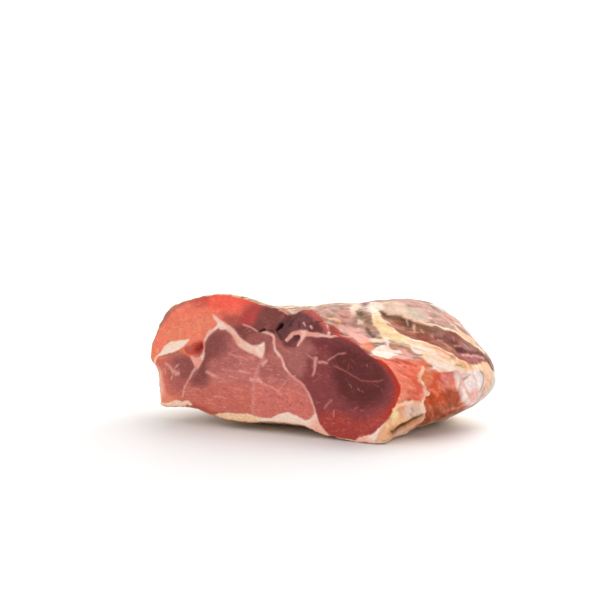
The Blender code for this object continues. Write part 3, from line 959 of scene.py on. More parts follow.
    def paint_rind(self) -> None:
        """The skin side: tan fat that has turned golden, with the brown of old skin left on it in places."""
        skin, beside = self.measure_rind()
        self.skin = skin
        border, overlap = 10.0, 3.0  # how far the fat under the rind shows beside it, and reaches under it
        edge = np.minimum.reduce([skin + border, overlap - skin, beside])
        self.fatten(edge, Tone.IVORY, rise=0.3)
        self.tint_fat(np.minimum(skin + 3.0, 6.0 - skin), Tone.YELLOW_DEEP, feather=8.0, strength=0.7)
        self.thin(skin)
        self.wash(skin, Tone.RIND, feather=2.0)
        self.lift(skin, 0.6, feather=4.0)
        for seed, length, tone, strength in (
                (1, 60.0, Tone.RIND_GOLD, 0.9),
                (2, 34.0, Tone.RIND_DARK, 0.45),
                (3, 22.0, Tone.ORANGE_BROWN, 0.4),
                (4, 44.0, Tone.PEACH_FAT, 0.5)):
            cloud = 50.0 * ripple(self.places + 97.0 * seed, length)
            self.wash(np.minimum(skin, cloud), tone, feather=22.0, strength=strength)
        wrinkles = 10.0 * (0.05 - np.abs(ripple(self.places + 53.0, 16.0)))
        wrinkles = np.minimum(skin, wrinkles)
        # the wrinkles are darkened with painted shade as well as sunk
        self.wash(wrinkles, Tone.RIND_DARK, feather=1.4, strength=0.3)
        self.lift(wrinkles, -0.3, feather=2.0)

    def measure_rind(self) -> tuple[np.ndarray, np.ndarray]:
        """Measures the rind, which wraps the foot and the rounded end.

        Returns:
            For each point, how far it lies inside the rind, and how far past the side that is painted with
            listed outlines, both in mm.
        """
        left_foot, right_foot = 158.0, -26.0  # the turns at which the rind starts, in degrees
        strays = ((38.0, 26.0), (11.0, 6.0))  # the length and the reach of its edge's waves, in mm
        cap_middle, cap_stretch, cap_radius = (30.0, 168.0, 36.0), (1.4, 1.0, 1.0), 42.0
        painted_turn, painted_depth = 60.0, 104.0
        nearby = -60.0  # nearer than this its edge may stray, in mm
        turn, depth = self.chart.T
        under = np.where(turn > 90.0, turn - left_foot, right_foot - turn) * MM_PER_DEGREE
        under = np.where((turn > 0) & (turn < 90), -FAR, under)
        stray = under
        for length, reach in strays:
            stray = stray + reach * ripple(self.places, length)
        cap = cap_radius - np.linalg.norm((self.places - cap_middle) / cap_stretch, axis=1)
        beside = np.where(turn > painted_turn, FAR, depth - painted_depth)
        skin = np.where(under > nearby, np.where(beside > 0.0, stray, under), -FAR)
        return np.maximum(skin, cap), beside

    def paint_shoulder(self) -> None:
        """The dried top, where lean and fat lie in turn under a film of their own salt and oil."""
        notch = [(24, 22.4), (22, 20.6), (19, 19)]
        dip = [(35.2, 69), (34, 79), (31.6, 81), (27.8, 78)]
        self.tint_patches(
            (Tone.SKIN_PINK, 6, 0.8, [(49, 26), (48, 32), (43, 33), (34, 24), (30, 20), (24, 14), (30, 9),
             (38, 12)]),
            (Tone.SKIN_PINK, 4, 0.6, [(53, 16), (50, 22), (43, 14), (40, 5), (44, 2)]),
            (Tone.CREAM, 4, 0.8, [(51, 48), (46, 47), (40.5, 34), (36, 28), (39, 27), (46, 36)]),
            (Tone.CREAM, 2.4, 0.7, [(32.6, 26), (30.2, 27), (27.7, 26), (28.3, 23)]),
            (Tone.SKIN_MAUVE, 2.4, 0.9, [(34, 23), (33, 25), (27.5, 20.5), (29.3, 18.5)]),
            (Tone.SKIN_MAUVE, 2.4, 0.8, [(27, 21), (25.4, 24), (21, 20), (23, 16.5)]),
            (Tone.OLIVE, 2.4, 0.7, [(39, 33.5), (36.2, 34.5), (32, 30.5), (32.2, 27.6), (36, 28.6)]),
            (Tone.OLIVE_DARK, 2, 0.9, [(40.8, 33), (38.5, 34.4), (35.2, 31), (37, 29.6)]),
            (Tone.OLIVE, 2, 0.9, [(29.9, 27.6), (30, 29.6), (28.3, 30), (26, 26.6), (27.5, 25.2)]),
            (Tone.SKIN_GREY, 5, 0.8, [(30, 50), (29, 57), (26.5, 62), (22.9, 60), (22, 54), (23.8, 48.6),
             (26.3, 47)]),
            (Tone.PINK_FAT, 6, 0.5, [(40, 16), (40, 24), (35, 26), (33, 20)]),
            (Tone.SKIN_PINK, 5, 0.9, [(37, 60), (36.6, 74), (31.6, 74), (31.6, 60)]),
            (Tone.SKIN_MAUVE, 8, 0.5, [(41, 60), (39, 82), (30, 92), (22, 90), (23, 72), (31, 60)]),
            (Tone.SKIN_PINK, 4, 0.7, [(28.6, 22), (28, 27), (24.6, 27), (25, 23)]),
            (Tone.PINK_FILM, 6, 0.4, [(36, 56), (33, 75), (30.6, 77), (26, 70), (22.9, 62), (23.4, 57),
             (28, 62)]),
            (Tone.SKIN_PINK, 5, 1, [(24.2, 79), (23.9, 94), (20.4, 92), (18.8, 77), (20.3, 71)]),
            (Tone.SKIN_GREY, 5, 0.8, [(32, 88), (29, 104), (24, 104), (23.9, 92), (27, 90)]),
        )
        self.tint_streaks(
            (Tone.SKIN_MAUVE, 4, 0.9, [(67, 43), (56, 36), (53, 30)]),
            (Tone.SKIN_MAUVE, 3, 0.6, [(41, 51), (38.4, 59), (36.4, 68)]),
            (Tone.SKIN_MAUVE, 2.6, 0.6, [(35.4, 51), (33.6, 60), (32.4, 69)]),
            (Tone.SKIN_BROWN, 1.6, 0.6, [(38.6, 66), (36.2, 76), (33.4, 85)]),
            (Tone.SKIN_MAUVE, 3, 0.7, [(30.4, 66), (28, 74), (25.6, 82)]),
            (Tone.SKIN_BROWN, 2.4, 0.8, [(46.5, 27), (45, 31), (43, 31)]),
            (Tone.SKIN_BROWN, 2.2, 0.9, [(39, 20), (37.9, 21), (36.6, 23.4)]),
            (Tone.OLIVE, 2, 0.5, [(44, 9), (41, 14.4)]),
            (Tone.SKIN_BROWN, 2, 0.9, [(35.8, 12.6), (34, 15), (32.8, 17.4)]),
            (Tone.PINK_FAT, 2.4, 0.8, [(33, 14), (29, 14.5), (25.5, 14)]),
            (Tone.OLIVE_DARK, 3, 0.9, notch),
            (Tone.SKIN_BROWN, 2, 0.8, [(48, 1), (50.5, 11), (53, 23), (53.6, 33), (51.9, 36)]),
            (Tone.CREAM, 2.6, 0.7, [(66, 63), (56, 57), (49.5, 52)]),
            (Tone.OLIVE, 3, 0.45, [*dip, (23.6, 77)]),
            (Tone.PALE_FILM, 3, 0.9, [(30.4, 83), (28.9, 88), (26.2, 88)]),
            (Tone.CREAM, 2.2, 0.3, [(27.9, 74), (24.7, 76), (21.9, 78)]),
            (Tone.SKIN_BROWN, 2.2, 0.8, [(21.8, 62), (20.4, 67), (18.8, 75)]),
            (Tone.SKIN_BROWN, 2.2, 0.6, [(23.6, 63), (22.1, 67), (20.4, 71)]),
            (Tone.OLIVE, 3.4, 0.6, [(20.9, 86), (18.3, 86), (16.1, 90), (14.5, 96)]),
        )
        fold = [(40, 34), (36, 31), (32.4, 29)]
        # The notch, the fold and the dip are sunk; the dark streaks laid along the notch and the dip above
        # are painted shade in them
        for line, width, rise, feather in ((notch, 3, -0.7, 2.4), (fold, 4, -0.7, 3), (dip, 3, -0.4, 4)):
            self.lift(self.stroke(line, width), rise, feather)
        self.lay_seams(
            (Tone.PEACH_FAT, 2.6, 2.0, [(39, 8.4), (37.8, 13), (36, 15.6)]),
            (Tone.CREAM, 1.6, 1.8, [(25.8, 47), (23, 49), (21.6, 52), (19.4, 55.4), (17.6, 61)]),
            (Tone.IVORY, 1.8, 3.0, [(17.6, 61), (16.2, 68), (14.8, 73), (12.7, 78), (11, 85), (8.8, 95),
             (6.4, 107)]),
        )

    def paint_fat_band(self) -> None:
        """The yellow and cream fat round the bone's opening, and the pieces of fat beside it."""
        self.lay_fat(
            (Tone.IVORY, 0.4, [(44, 51), (38.6, 49), (33.6, 43), (30, 38), (27, 35.5), (24.5, 32.5),
             (22.7, 31), (20.7, 32), (17.9, 31.4), (15.7, 32.8), (14.4, 35.4), (12.8, 38.6), (10.9, 43),
             (9.1, 47.6), (7.3, 52), (5.6, 53), (4.4, 55), (3.6, 62), (2.8, 70), (2.7, 84), (2.8, 100),
             (0.5, 110), (-0.4, 92), (0.4, 74), (0.8, 60), (0.9, 50), (0.6, 41), (1.6, 33), (4.3, 29.4),
             (6.6, 29), (8.6, 29), (10.3, 28.5), (12, 26.5), (13.4, 24), (14, 21), (15, 17), (15.6, 12),
             (17.8, 12), (17.6, 17), (16.6, 20.5), (18, 22), (21, 24.4), (25.5, 27), (30, 31), (35.8, 37.6)]),
            (Tone.WHITE_FAT, 0.4, [(10.8, 6), (11.7, 10), (12.4, 14), (13.6, 19), (15.5, 22), (15, 24),
             (12.3, 20.4), (10.3, 20), (9.6, 23), (8, 21.6), (7.1, 14), (6.9, 7), (8.6, 5)]),
            (Tone.PEACH_FAT, 0.3, [(18.4, 82), (16.6, 84), (14.4, 88), (12.6, 96), (10.6, 102), (9.6, 92),
             (11, 86), (12.8, 80), (15.4, 77)]),
            (Tone.PINK_BRIGHT, 0.3, [(25, 12), (22.3, 13.4), (18.5, 14.4), (16.2, 14), (14.4, 8), (16, 5),
             (19.9, 7), (23, 9)]),
        )
        self.tint_fats(
            (Tone.CREAM, 6, 0.7, [(40, 49), (37, 56), (33, 58), (29, 53), (26.3, 47), (28.8, 44.6),
             (34, 43)]),
            (Tone.WHITE_FAT, 5, 0.9, [(44, 51), (38, 49), (33, 42), (34, 35), (40, 42)]),
            (Tone.YELLOW_FAT, 3, 1, [(31, 34), (28, 36), (24, 31.4), (19, 31), (15.6, 32), (13.4, 31),
             (14, 26), (17, 23.4), (21, 25), (26, 28)]),
            (Tone.YELLOW_DEEP, 3, 0.9, [(30, 35), (27, 35), (23, 31.6), (20, 31.4), (20.4, 29.4), (24, 29.4),
             (28, 30)]),
            (Tone.YELLOW_PALE, 3, 0.9, [(20, 27.6), (17, 30), (14.6, 31), (15, 27), (18, 25)]),
            (Tone.PEACH_FAT, 3, 0.9, [(11.8, 38), (9.8, 42), (8.4, 46), (6.3, 50), (4.2, 46), (5.5, 40),
             (7.1, 37), (9.3, 36)]),
            (Tone.ORANGE_FAT, 2, 0.9, [(8.6, 42), (8, 46.4), (6.6, 49), (5.5, 44), (6.5, 40)]),
            (Tone.OCHRE, 1.6, 0.8, [(6.4, 49), (5.8, 52.4), (4.4, 50.6), (4.9, 47)]),
            (Tone.YELLOW_DEEP, 3, 0.9, [(3.8, 54), (2.8, 69), (2.6, 92), (0.6, 84), (0.8, 62), (1.4, 54)]),
            (Tone.PEACH_FAT, 4, 0.9, [(2.8, 90), (3.2, 106), (0.5, 112), (-1, 102), (-0.2, 88)]),
            (Tone.WHITE_FAT, 2, 1, [(11.4, 29), (10.8, 33), (9.6, 36), (6.4, 35.6), (4.8, 37.4), (2.9, 43),
             (1.7, 49), (0.7, 45), (0.8, 38), (2.5, 32), (5, 30.4), (7.4, 29.6), (8.9, 28.8)]),
            (Tone.YELLOW_PALE, 2, 0.9, [(7.8, 33), (5.8, 33.4), (4.7, 31), (7, 30.4)]),
            (Tone.ORANGE, 2, 1, [(5.8, 27.6), (5.5, 30), (4, 30.6), (2.6, 32.4), (1.8, 28.6), (3.6, 26.6)]),
            (Tone.ORANGE, 3, 0.9, [(15.2, 6), (15.7, 11), (13.8, 13), (11.3, 8), (11.6, 4), (12.8, 2)]),
        )
        self.tint_patches(
            (Tone.PINK_FILM, 2.4, 1, [(11.6, 20), (10.8, 24), (9, 27.4), (7, 29), (5.6, 29), (5, 27),
             (5.8, 22), (6.6, 10), (8, 18)]),
            (Tone.PALE_FILM, 2, 0.8, [(14.6, 24.6), (12.6, 27.6), (10.4, 28.8), (10, 26), (12.4, 22.6)]),
        )
        fat_band = self.patch([(31, 33), (26, 38), (14, 36), (8, 52), (3, 60), (2, 106), (-1, 106), (0, 50),
                               (1, 33), (12, 27), (16, 12), (18, 20), (26, 26)])
        self.weave(fat_band, (
            (21, 3.4, 14, 0.30, Tone.PEACH_FAT, 0.4),
            (22, 4, 18, 0.35, Tone.WHITE_FAT, 0.5),
            (23, 3, 10, 0.60, Tone.ORANGE_FAT, 0.4),
        ))
        for tone, width, line in (
                (Tone.OCHRE, 1.3, [(14.8, 22.6), (13.1, 25), (11.8, 27.6), (10.3, 29)]),
                (Tone.ORANGE_BROWN, 2.2, [(12.8, 21.6), (12.1, 24), (10.6, 26), (9, 28)]),
                (Tone.SKIN_BROWN, 1.2, [(15.2, 22.6), (14, 25)]),
                (Tone.SKIN_MAUVE, 1.1, [(11.4, 19.6), (10.5, 22.4)]),
                (Tone.SKIN_MAUVE, 1.1, [(8.5, 18.6), (7.9, 21.4)]),
                (Tone.SKIN_MAUVE, 1.4, [(8.6, 26.6), (7.2, 27.4), (6.7, 30)]),
                (Tone.SKIN_MAUVE, 1.1, [(6.2, 25.6), (5.6, 29)]),
                (Tone.OLIVE, 1.2, [(14.5, 13), (14.2, 17), (12.9, 19.4)]),
                (Tone.SKIN_BROWN, 1.6, [(3.4, 29.4), (2.4, 32.6)]),
                (Tone.OCHRE, 1.8, [(2.6, 49), (2.3, 54.6)]),
                (Tone.OCHRE, 1.6, [(1.9, 55), (1.7, 61)])):
            cover = self.stroke(line, width)
            self.thin(cover)
            self.wash(cover, tone, 1.2, 0.9)

    def paint_trimmed_side(self) -> None:
        """Where the knife took the rind off: salmon lean by the cut, amber lean behind the pale line."""
        self.tint_patches(
            (Tone.SALMON, 1.6, 1, [(6.8, -4), (6.6, 6), (6.3, 14), (5.4, 22), (5, 27), (3, 29), (1, 26),
             (-3, 21), (-6, 26), (-10, 28), (-11, 18), (-11.2, 8), (-12, -4)]),
            (Tone.SALMON_PALE, 6, 0.8, [(0, 2), (-1, 13), (-4, 16), (-7, 13), (-7.6, 0), (-3, -2)]),
            (Tone.VERMILION, 4, 0.7, [(-1.2, 16), (-3.6, 20), (-6, 23), (-9.4, 21), (-11, 15), (-6.5, 9)]),
            (Tone.AMBER, 3, 1, [(1, 26), (0.4, 33), (0.4, 44), (-4, 54), (-8, 62), (-12, 75), (-15.4, 90),
             (-19, 86), (-24, 74), (-26, 50), (-22, 40), (-16, 36), (-10, 28), (-6, 26), (-2, 22)]),
            (Tone.VERMILION, 4, 1, [(1, 30), (0.2, 42), (-4.6, 44), (-6.4, 34), (-5.9, 26), (-2.6, 25)]),
            (Tone.ORANGE, 3, 0.8, [(1.6, 25.6), (1, 31), (-2.3, 31), (-4.6, 26), (-1.5, 23)]),
            (Tone.MULBERRY_PINK, 4, 0.9, [(0.2, 39), (-0.2, 51), (-4.2, 57), (-6, 49), (-4.6, 40)]),
            (Tone.AMBER_BRIGHT, 6, 0.8, [(-4, 27), (-5.8, 40), (-9.4, 46), (-12.6, 50), (-14, 38), (-9, 29)]),
            # painted shade darkens the amber towards its lower edge, where the side turns under
            (Tone.AMBER_LOW_SHADE, 8, 0.6, [(-13, 34), (-12.5, 50), (-13.2, 74), (-18, 83), (-24, 66), (-23, 46),
             (-17, 38)]),
            (Tone.FLAP_SOFT, 4, 0.8, [(-5, 0), (-12, 0), (-12, 9), (-9, 12), (-6, 8)]),
        )
        fresh = self.patch([(6, -2), (5, 26), (0, 24), (-10, 27), (-11, -2)])
        self.weave(fresh, (
            (41, 3, 12, 0.25, Tone.STREAK_RED, 0.25),
            (42, 3, 12, 0.30, Tone.FLAP_SOFT, 0.5),
        ))
        amber = self.patch([(1, 28), (0, 48), (-8, 62), (-14, 88), (-20, 84), (-22, 44), (-10, 28)])
        self.weave(amber, (
            (43, 4, 14, 0.30, Tone.BAND_RED, 0.3),
            (44, 4, 14, 0.35, Tone.ORANGE, 0.4),
        ))
        self.tint_streaks(
            (Tone.CRIMSON, 4, 0.8, [(6.6, -2), (4, 0), (1.5, 0)]),
            (Tone.STREAK_RED, 2.4, 0.9, [(6.2, 5), (5.6, 8), (4.9, 11), (3.2, 14.6)]),
            (Tone.STREAK_RED, 2.2, 0.8, [(5.6, 14), (4.4, 18), (3, 22.4)]),
            (Tone.SALMON_PALE, 2, 0.9, [(4, 3.4), (3, 9.4)]),
            (Tone.SALMON_PALE, 2, 0.9, [(3.9, 13.4), (3.2, 17.6)]),
            (Tone.SALMON_PALE, 1.6, 0.7, [(2.6, 1), (2.2, 14), (2.2, 24)]),
            (Tone.STREAK_RED, 1.4, 0.6, [(0, 10), (-1.4, 20), (-3, 23)]),
            # a painted shadow, in crimson, below the salmon lean's edge
            (Tone.CRIMSON, 2.4, 0.8, [(-10.2, 14), (-11.2, 22), (-10.3, 26)]),
            (Tone.SALMON_PALE, 1.8, 0.7, [(-5.6, 27.6), (-7, 34), (-8.4, 40)]),
            (Tone.ORANGE, 2.4, 0.8, [(-15.4, 61), (-14.9, 72), (-13.9, 83)]),
            (Tone.STREAK_RED, 2, 0.5, [(-7.6, 40), (-9.4, 54), (-12, 68)]),
            (Tone.BAND_RED, 2, 0.5, [(-11, 38), (-13, 52), (-15.6, 66)]),
            (Tone.PEACH_FAT, 1.6, 0.6, [(-22.3, 58), (-20.9, 69), (-19.4, 79)]),
            (Tone.UMBER, 3, 0.9, [(-19, 81), (-18.9, 89), (-16.6, 93)]),
        )

    def paint_flap_of_skin(self) -> None:
        """The pale line that the trimming left, and the fold of skin and fat at the thigh's foot, with
        painted shade in the slit under the fold.
        """
        self.lay_fat(
            (Tone.PEACH_FAT, 0.8, [(-16.5, -6), (-14, -4), (-12, 2), (-10.9, 10), (-10.6, 18), (-10.7, 26),
             (-12.7, 32), (-15.5, 36), (-19.7, 41), (-22.3, 40), (-24.4, 31), (-26, 20), (-26, 5),
             (-29, -6)]),
            (Tone.CREAM, 0.1, [(-25, 30), (-26, 12), (-30, -6), (-38, 0), (-36, 28), (-29, 40)]),
        )
        self.lay_seams(
            (Tone.CREAM, 2.0, 1.8, [(2.6, 26), (1, 24.6), (-0.8, 22.4), (-2.4, 21.6), (-3.8, 23),
             (-5.1, 24.8)]),
            (Tone.CREAM, 1.8, 2.8, [(-5.1, 24.8), (-7.1, 26), (-9.2, 27), (-11.4, 28), (-13.6, 32),
             (-15.6, 36)]),
            (Tone.PEACH_FAT, 3.4, 1.2, [(-0.2, 22.8), (-2.8, 20.2)]),
            (Tone.PINK_FAT, 3.2, 1.4, [(-5.4, 24.2), (-8.8, 26.2)]),
            (Tone.CREAM, 1.2, 2.8, [(-6.2, 26.4), (-7.6, 28.8)]),
            (Tone.YELLOW_FAT, 6.0, 4.0, [(-13.6, -2), (-15, 3), (-17.2, 6), (-19.4, 6)]),
            (Tone.CREAM, 2.0, 1.6, [(-12, 1), (-11.2, 10), (-10.6, 18)]),
        )
        for tone, width, strength, line in (
                (Tone.ORANGE, 3.4, 0.7, [(-13, 6), (-13.8, 12), (-16.4, 15)]),
                (Tone.PALE_FILM, 8.0, 0.9, [(-14.2, 17), (-15, 24), (-16.8, 32)]),
                (Tone.SKIN_GREY, 3.0, 0.6, [(-13, 19), (-13.4, 27)]),
                (Tone.SKIN_MAUVE, 1.6, 0.6, [(-13, 20), (-15.2, 24)]),
                (Tone.SKIN_MAUVE, 1.4, 0.5, [(-16, 22), (-18, 30)]),
                (Tone.YELLOW_DEEP, 3.4, 0.9, [(-23, 1), (-20.1, 6), (-19, 12), (-18.6, 21)]),
                (Tone.PINK_FAT, 3.0, 0.5, [(-25.6, 20), (-23.9, 30), (-21.8, 35), (-20.2, 40)]),
                (Tone.BAND_RED, 3.4, 0.8, [(-22.6, 38), (-20, 42.4)])):
            self.tint_fat(self.stroke(line, width), tone, 1.2 * width, strength)
        fold = self.patch([(-23.6, 3), (-21.4, 6), (-20, 16), (-18.4, 27), (-15.6, 34), (-18.7, 38),
                           (-21.7, 33), (-24.6, 23), (-25.4, 10)])
        self.tint_fat(fold, Tone.OCHRE, 3.0, 0.5)
        # the slit under the fold is sunk and filled with painted shade
        slit = np.maximum(self.stroke([(-23.2, 7), (-22.8, 12), (-22.2, 18)], 2.0, 6.0),
                          self.stroke([(-22.2, 18), (-21, 25), (-19.2, 31), (-16.8, 36)], 6.0, 1.5))
        self.tint_fat(slit, Tone.SLIT_SHADE, 3.0)
        self.lift(slit, -1.2, 2.5)

    def paint_thigh_end(self) -> None:
        """The whitish film over the thigh's outermost turn, streaked with pink lean, and its grey edge."""
        self.tint_patches(
            (Tone.PALE_FILM, 5, 1, [(1.3, 49), (0.9, 65), (0.3, 84), (-3, 91), (-7.6, 92), (-12, 96),
             (-15.6, 95), (-12.6, 76), (-8.2, 63), (-4.2, 54)]),
            (Tone.FILM_WHITE, 5, 0.9, [(-0.2, 62), (-1, 84), (-5, 90), (-9, 84), (-5.4, 66)]),
            (Tone.PINK_FILM, 4, 0.9, [(-7.6, 76), (-6.4, 84), (-10.1, 90), (-13, 88), (-11, 80)]),
            (Tone.PEACH_FAT, 4, 0.8, [(2.4, 99), (-0.1, 106), (-3.3, 101), (-7, 99), (-9.6, 95), (-3.1, 92),
             (-0.2, 90)]),
            (Tone.GREY_FILM, 5, 0.9, [(0, 110), (-2, 128), (-8, 120), (-13, 106), (-13, 97), (-8, 99),
             (-4, 102)]),
        )
        self.tint_streaks(
            (Tone.MULBERRY_PINK, 2.4, 0.6, [(0.6, 50), (-2.1, 57.4), (-5.8, 59.4), (-9.2, 67)]),
            (Tone.SKIN_MAUVE, 2.4, 0.5, [(1, 39), (0.2, 45)]),
            (Tone.OCHRE, 2.6, 0.8, [(-2.4, 61), (-1.2, 67.6)]),
            (Tone.SKIN_MAUVE, 2.6, 0.8, [(0.1, 83), (-2.3, 88), (-5.3, 89.4), (-8, 88.4)]),
            (Tone.PINK_FILM, 2.2, 0.8, [(-4, 60), (-6, 67), (-9, 75), (-12, 84)]),
            (Tone.PINK_FILM, 1.8, 0.7, [(-0.6, 58), (-1.6, 72), (-3.6, 80)]),
            (Tone.WHITE_FAT, 1.8, 0.7, [(-7, 66), (-10, 74), (-13, 86)]),
        )

    def paint_bone_opening(self) -> None:
        """The band of lean that dried in the opening where the bone came out."""
        band = self.patch([(33.8, 42), (31, 42.4), (28.4, 44), (26.4, 46), (24.4, 46.4), (23.2, 48),
            (21.6, 50), (20.1, 52), (18.1, 55), (16.5, 60), (15.3, 67), (14.1, 71), (11.9, 76), (9.1, 83),
            (7.4, 95), (6, 106), (3.5, 115), (0, 123), (-2, 116), (0.5, 111), (2, 106), (2.3, 98), (2.3, 84),
            (2.3, 70), (3.2, 62), (4.5, 55.5), (5.8, 53), (7.5, 52), (9.5, 47.4), (11.3, 43.4), (13, 39.2),
            (14.3, 35.4), (16.2, 33), (18.7, 32), (20.9, 32.6), (22, 34), (24.4, 36), (27.7, 37.6),
            (30.5, 39.4)])
        self.thin(band)
        self.wash(band, Tone.BAND_BROWN, 1.4)
        self.lift(band, -0.8, 3.0)
        self.weave(band, (
            (31, 3, 10, 0.20, Tone.BAND_RED, 0.6),
            (32, 3.6, 12, 0.30, Tone.BAND_MAUVE, 0.7),
            (33, 2.6, 8, 0.45, Tone.UMBER, 0.6),
            (34, 3, 9, 0.50, Tone.ORANGE_FAT, 0.5),
        ))
        self.tint_patches(
            (Tone.BAND_RED, 2.4, 0.7, [(26, 41), (23.6, 44.6), (21.4, 42.4), (22.6, 39.6)]),
            (Tone.UMBER, 2, 0.7, [(24.4, 45.6), (22.5, 47.4), (19.5, 44.6), (20.5, 41)]),
            (Tone.BAND_RED, 2.4, 0.9, [(16, 42), (15.2, 47.4), (12.5, 47.6), (12.6, 41), (14.2, 39)]),
            (Tone.BAND_MAUVE, 2.6, 0.9, [(17.2, 53), (15.9, 59), (14.9, 62), (13.4, 58), (15, 52)]),
            (Tone.MAUVE, 2.6, 0.8, [(15, 60), (14.6, 69), (11.6, 71), (9.2, 64), (11, 56)]),
            (Tone.MAROON, 2, 1, [(9, 63), (8.8, 70), (7.4, 76), (6.7, 69), (7.4, 63)]),
            (Tone.BAND_MAUVE, 2.4, 0.9, [(11.2, 73), (9.6, 80), (8, 90), (7.6, 78), (8.6, 72)]),
            (Tone.MULBERRY, 2, 1, [(8, 53), (7, 63), (6.6, 72), (6.2, 90), (5, 104), (3.2, 104), (3, 84),
             (2.8, 70), (3.8, 62), (4.8, 55), (6, 53)]),
            (Tone.BAND_RED, 1.8, 0.9, [(5.8, 55), (5.1, 64), (4.2, 69), (3.4, 64), (4.5, 56)]),
        )
        self.tint_streaks(
            (Tone.OLIVE_DARK, 4.2, 0.8, [(33, 41.6), (30, 41), (27.4, 42.4), (25.4, 44.6), (23.8, 45.4),
             (21.8, 46.4), (20.2, 48.8), (18.5, 50.4)]),
            (Tone.OLIVE_DARK, 2.4, 0.8, [(17.4, 51), (16.2, 55)]),
            (Tone.OLIVE, 2.4, 0.6, [(19.2, 51.8), (17.4, 55.4), (15.6, 61)]),
            (Tone.ORANGE_FAT, 2.2, 0.6, [(27.6, 37), (25.6, 38.2), (23.1, 39.2)]),
            (Tone.PEACH_FAT, 1.6, 0.5, [(25.1, 34.4), (22.8, 35.4), (20.4, 37.4), (19.5, 39)]),
            (Tone.BAND_RED, 2, 1, [(15, 35.6), (13.9, 37.8), (12.8, 41), (11.4, 44), (9.9, 48.2), (8, 53)]),
            (Tone.BAND_RED, 2.4, 0.8, [(15.4, 63), (14.7, 69), (13.2, 72)]),
            (Tone.BLOOD, 2.8, 0.8, [(13.5, 49.6), (13, 52.4)]),
            (Tone.UMBER, 2, 0.8, [(11.3, 62), (9.9, 65.4)]),
            (Tone.UMBER, 1.6, 0.6, [(14, 54), (12.4, 58)]),
            (Tone.MAROON, 2.4, 1, [(7.3, 68), (6.6, 82), (6, 96), (4.5, 107)]),
            (Tone.UMBER, 4, 1, [(5.4, 102), (3, 110), (0.8, 114), (-1.2, 120)]),
            (Tone.STREAK_RED, 1.6, 0.7, [(4.1, 63), (3.4, 76), (3.4, 94)]),
            (Tone.PINK_FAT, 1.8, 0.8, [(6, 66), (5.5, 80), (4.8, 95), (3.8, 104)]),
            (Tone.PINK_FAT, 1.3, 0.7, [(23.8, 46.2), (21.4, 44)]),
            (Tone.PINK_FAT, 1.8, 0.8, [(20.8, 47), (17.7, 44)]),
            (Tone.PINK_FAT, 1.3, 0.5, [(18.1, 48), (16.2, 47)]),
            (Tone.PINK_FAT, 1.6, 0.4, [(15, 50), (13.6, 50.6)]),
            (Tone.PINK_FAT, 1.6, 0.4, [(12.8, 53), (11.4, 54.4)]),
            (Tone.PINK_FAT, 1.2, 0.5, [(13.1, 67), (11.9, 66)]),
            (Tone.PINK_FAT, 1.3, 0.5, [(9.4, 63.4), (9.4, 70)]),
        )

    def paint_rim(self) -> None:
        """The ragged edge of fat and lean right behind the cut."""
        self.tint_patches(
            (Tone.PINK_FILM, 4, 0.7, [(32, 10), (30, 16), (26, 20), (21, 17), (19, 12), (24, 9)]),
            (Tone.BRICK, 2.4, 0.9, [(12.6, -4), (12, 2), (10.6, 4), (9, 3), (7.4, -4)]),
            (Tone.RIM_RED, 2.4, 0.9, [(27, -4), (23, 3), (18, 4), (13, 2), (12, -4)]),
        )
        self.lay_seams((Tone.PINK_FAT, 1.4, 2.0, [(34.5, 3), (31.5, 0.8), (27.6, -0.5)]))
        nub = self.patch([(33.6, 4), (33.2, 8), (29.9, 10), (27, 8.4), (23.8, 6.4), (23.4, 1), (26.2, 1),
                          (30.3, 2)])
        self.thin(nub)
        self.wash(nub, Tone.STREAK_RED, 2.0, 0.95)
        self.wash(self.stroke([(30, 4.6), (27, 5)], 3.4), Tone.BLOOD, 2.6, 0.9)


# Where most of a noise pattern lies
NOISE_RANGE = (0.3, 0.7)
# The levels of a pattern at which something starts to show and shows in full
STAIN_SHOWS = (0.48, 0.32)
FLECKS_CROWD = (0.40, 0.62)
FLECKS_BRIGHT = (0.53, 0.70)
AGEING_SHOWS = (0.42, 0.66)
# How bright the lean must be for flecks to show, and what share of them shows on the darkest
FLECKED_LEAN = (0.04, 0.25)
LEAST_FLECKED = 0.15
# How far from fat the lean begins to turn pale, in mm, and how much of the fat's colour it takes
PALE_BESIDE_FAT = (-0.9, 0.2)
PALENESS = 0.3
# The sockets of a mix node for its share and for colours, whose names stand for its other sockets too
SHARE, FIRST_COLOUR, SECOND_COLOUR, MIXED_COLOUR = 0, 6, 7, 2
FIRST_NUMBER, SECOND_NUMBER = 2, 3


def add_node(tree: bpy.types.NodeTree, kind: str, inputs: dict | tuple = (), output: int | str = 0,
             **settings: object) -> bpy.types.NodeSocket:
    """Adds a shader node to a tree.

    Args:
        tree: The node tree.
        kind: The node's type, without the word ShaderNode.
        inputs: A value for an input, or the socket to link to it, by the input's name or number, or in
            their order.
        output: The name or number of the output that is wanted.
        **settings: The node's other properties.

    Returns:
        That output.
    """
    node = tree.nodes.new("ShaderNode" + kind)
    for name, value in settings.items():
        setattr(node, name, value)
    for key, value in inputs.items() if isinstance(inputs, dict) else enumerate(inputs):
        if isinstance(value, bpy.types.NodeSocket):
            tree.links.new(value, node.inputs[key])
        else:
            node.inputs[key].default_value = value
    return node.outputs[output]


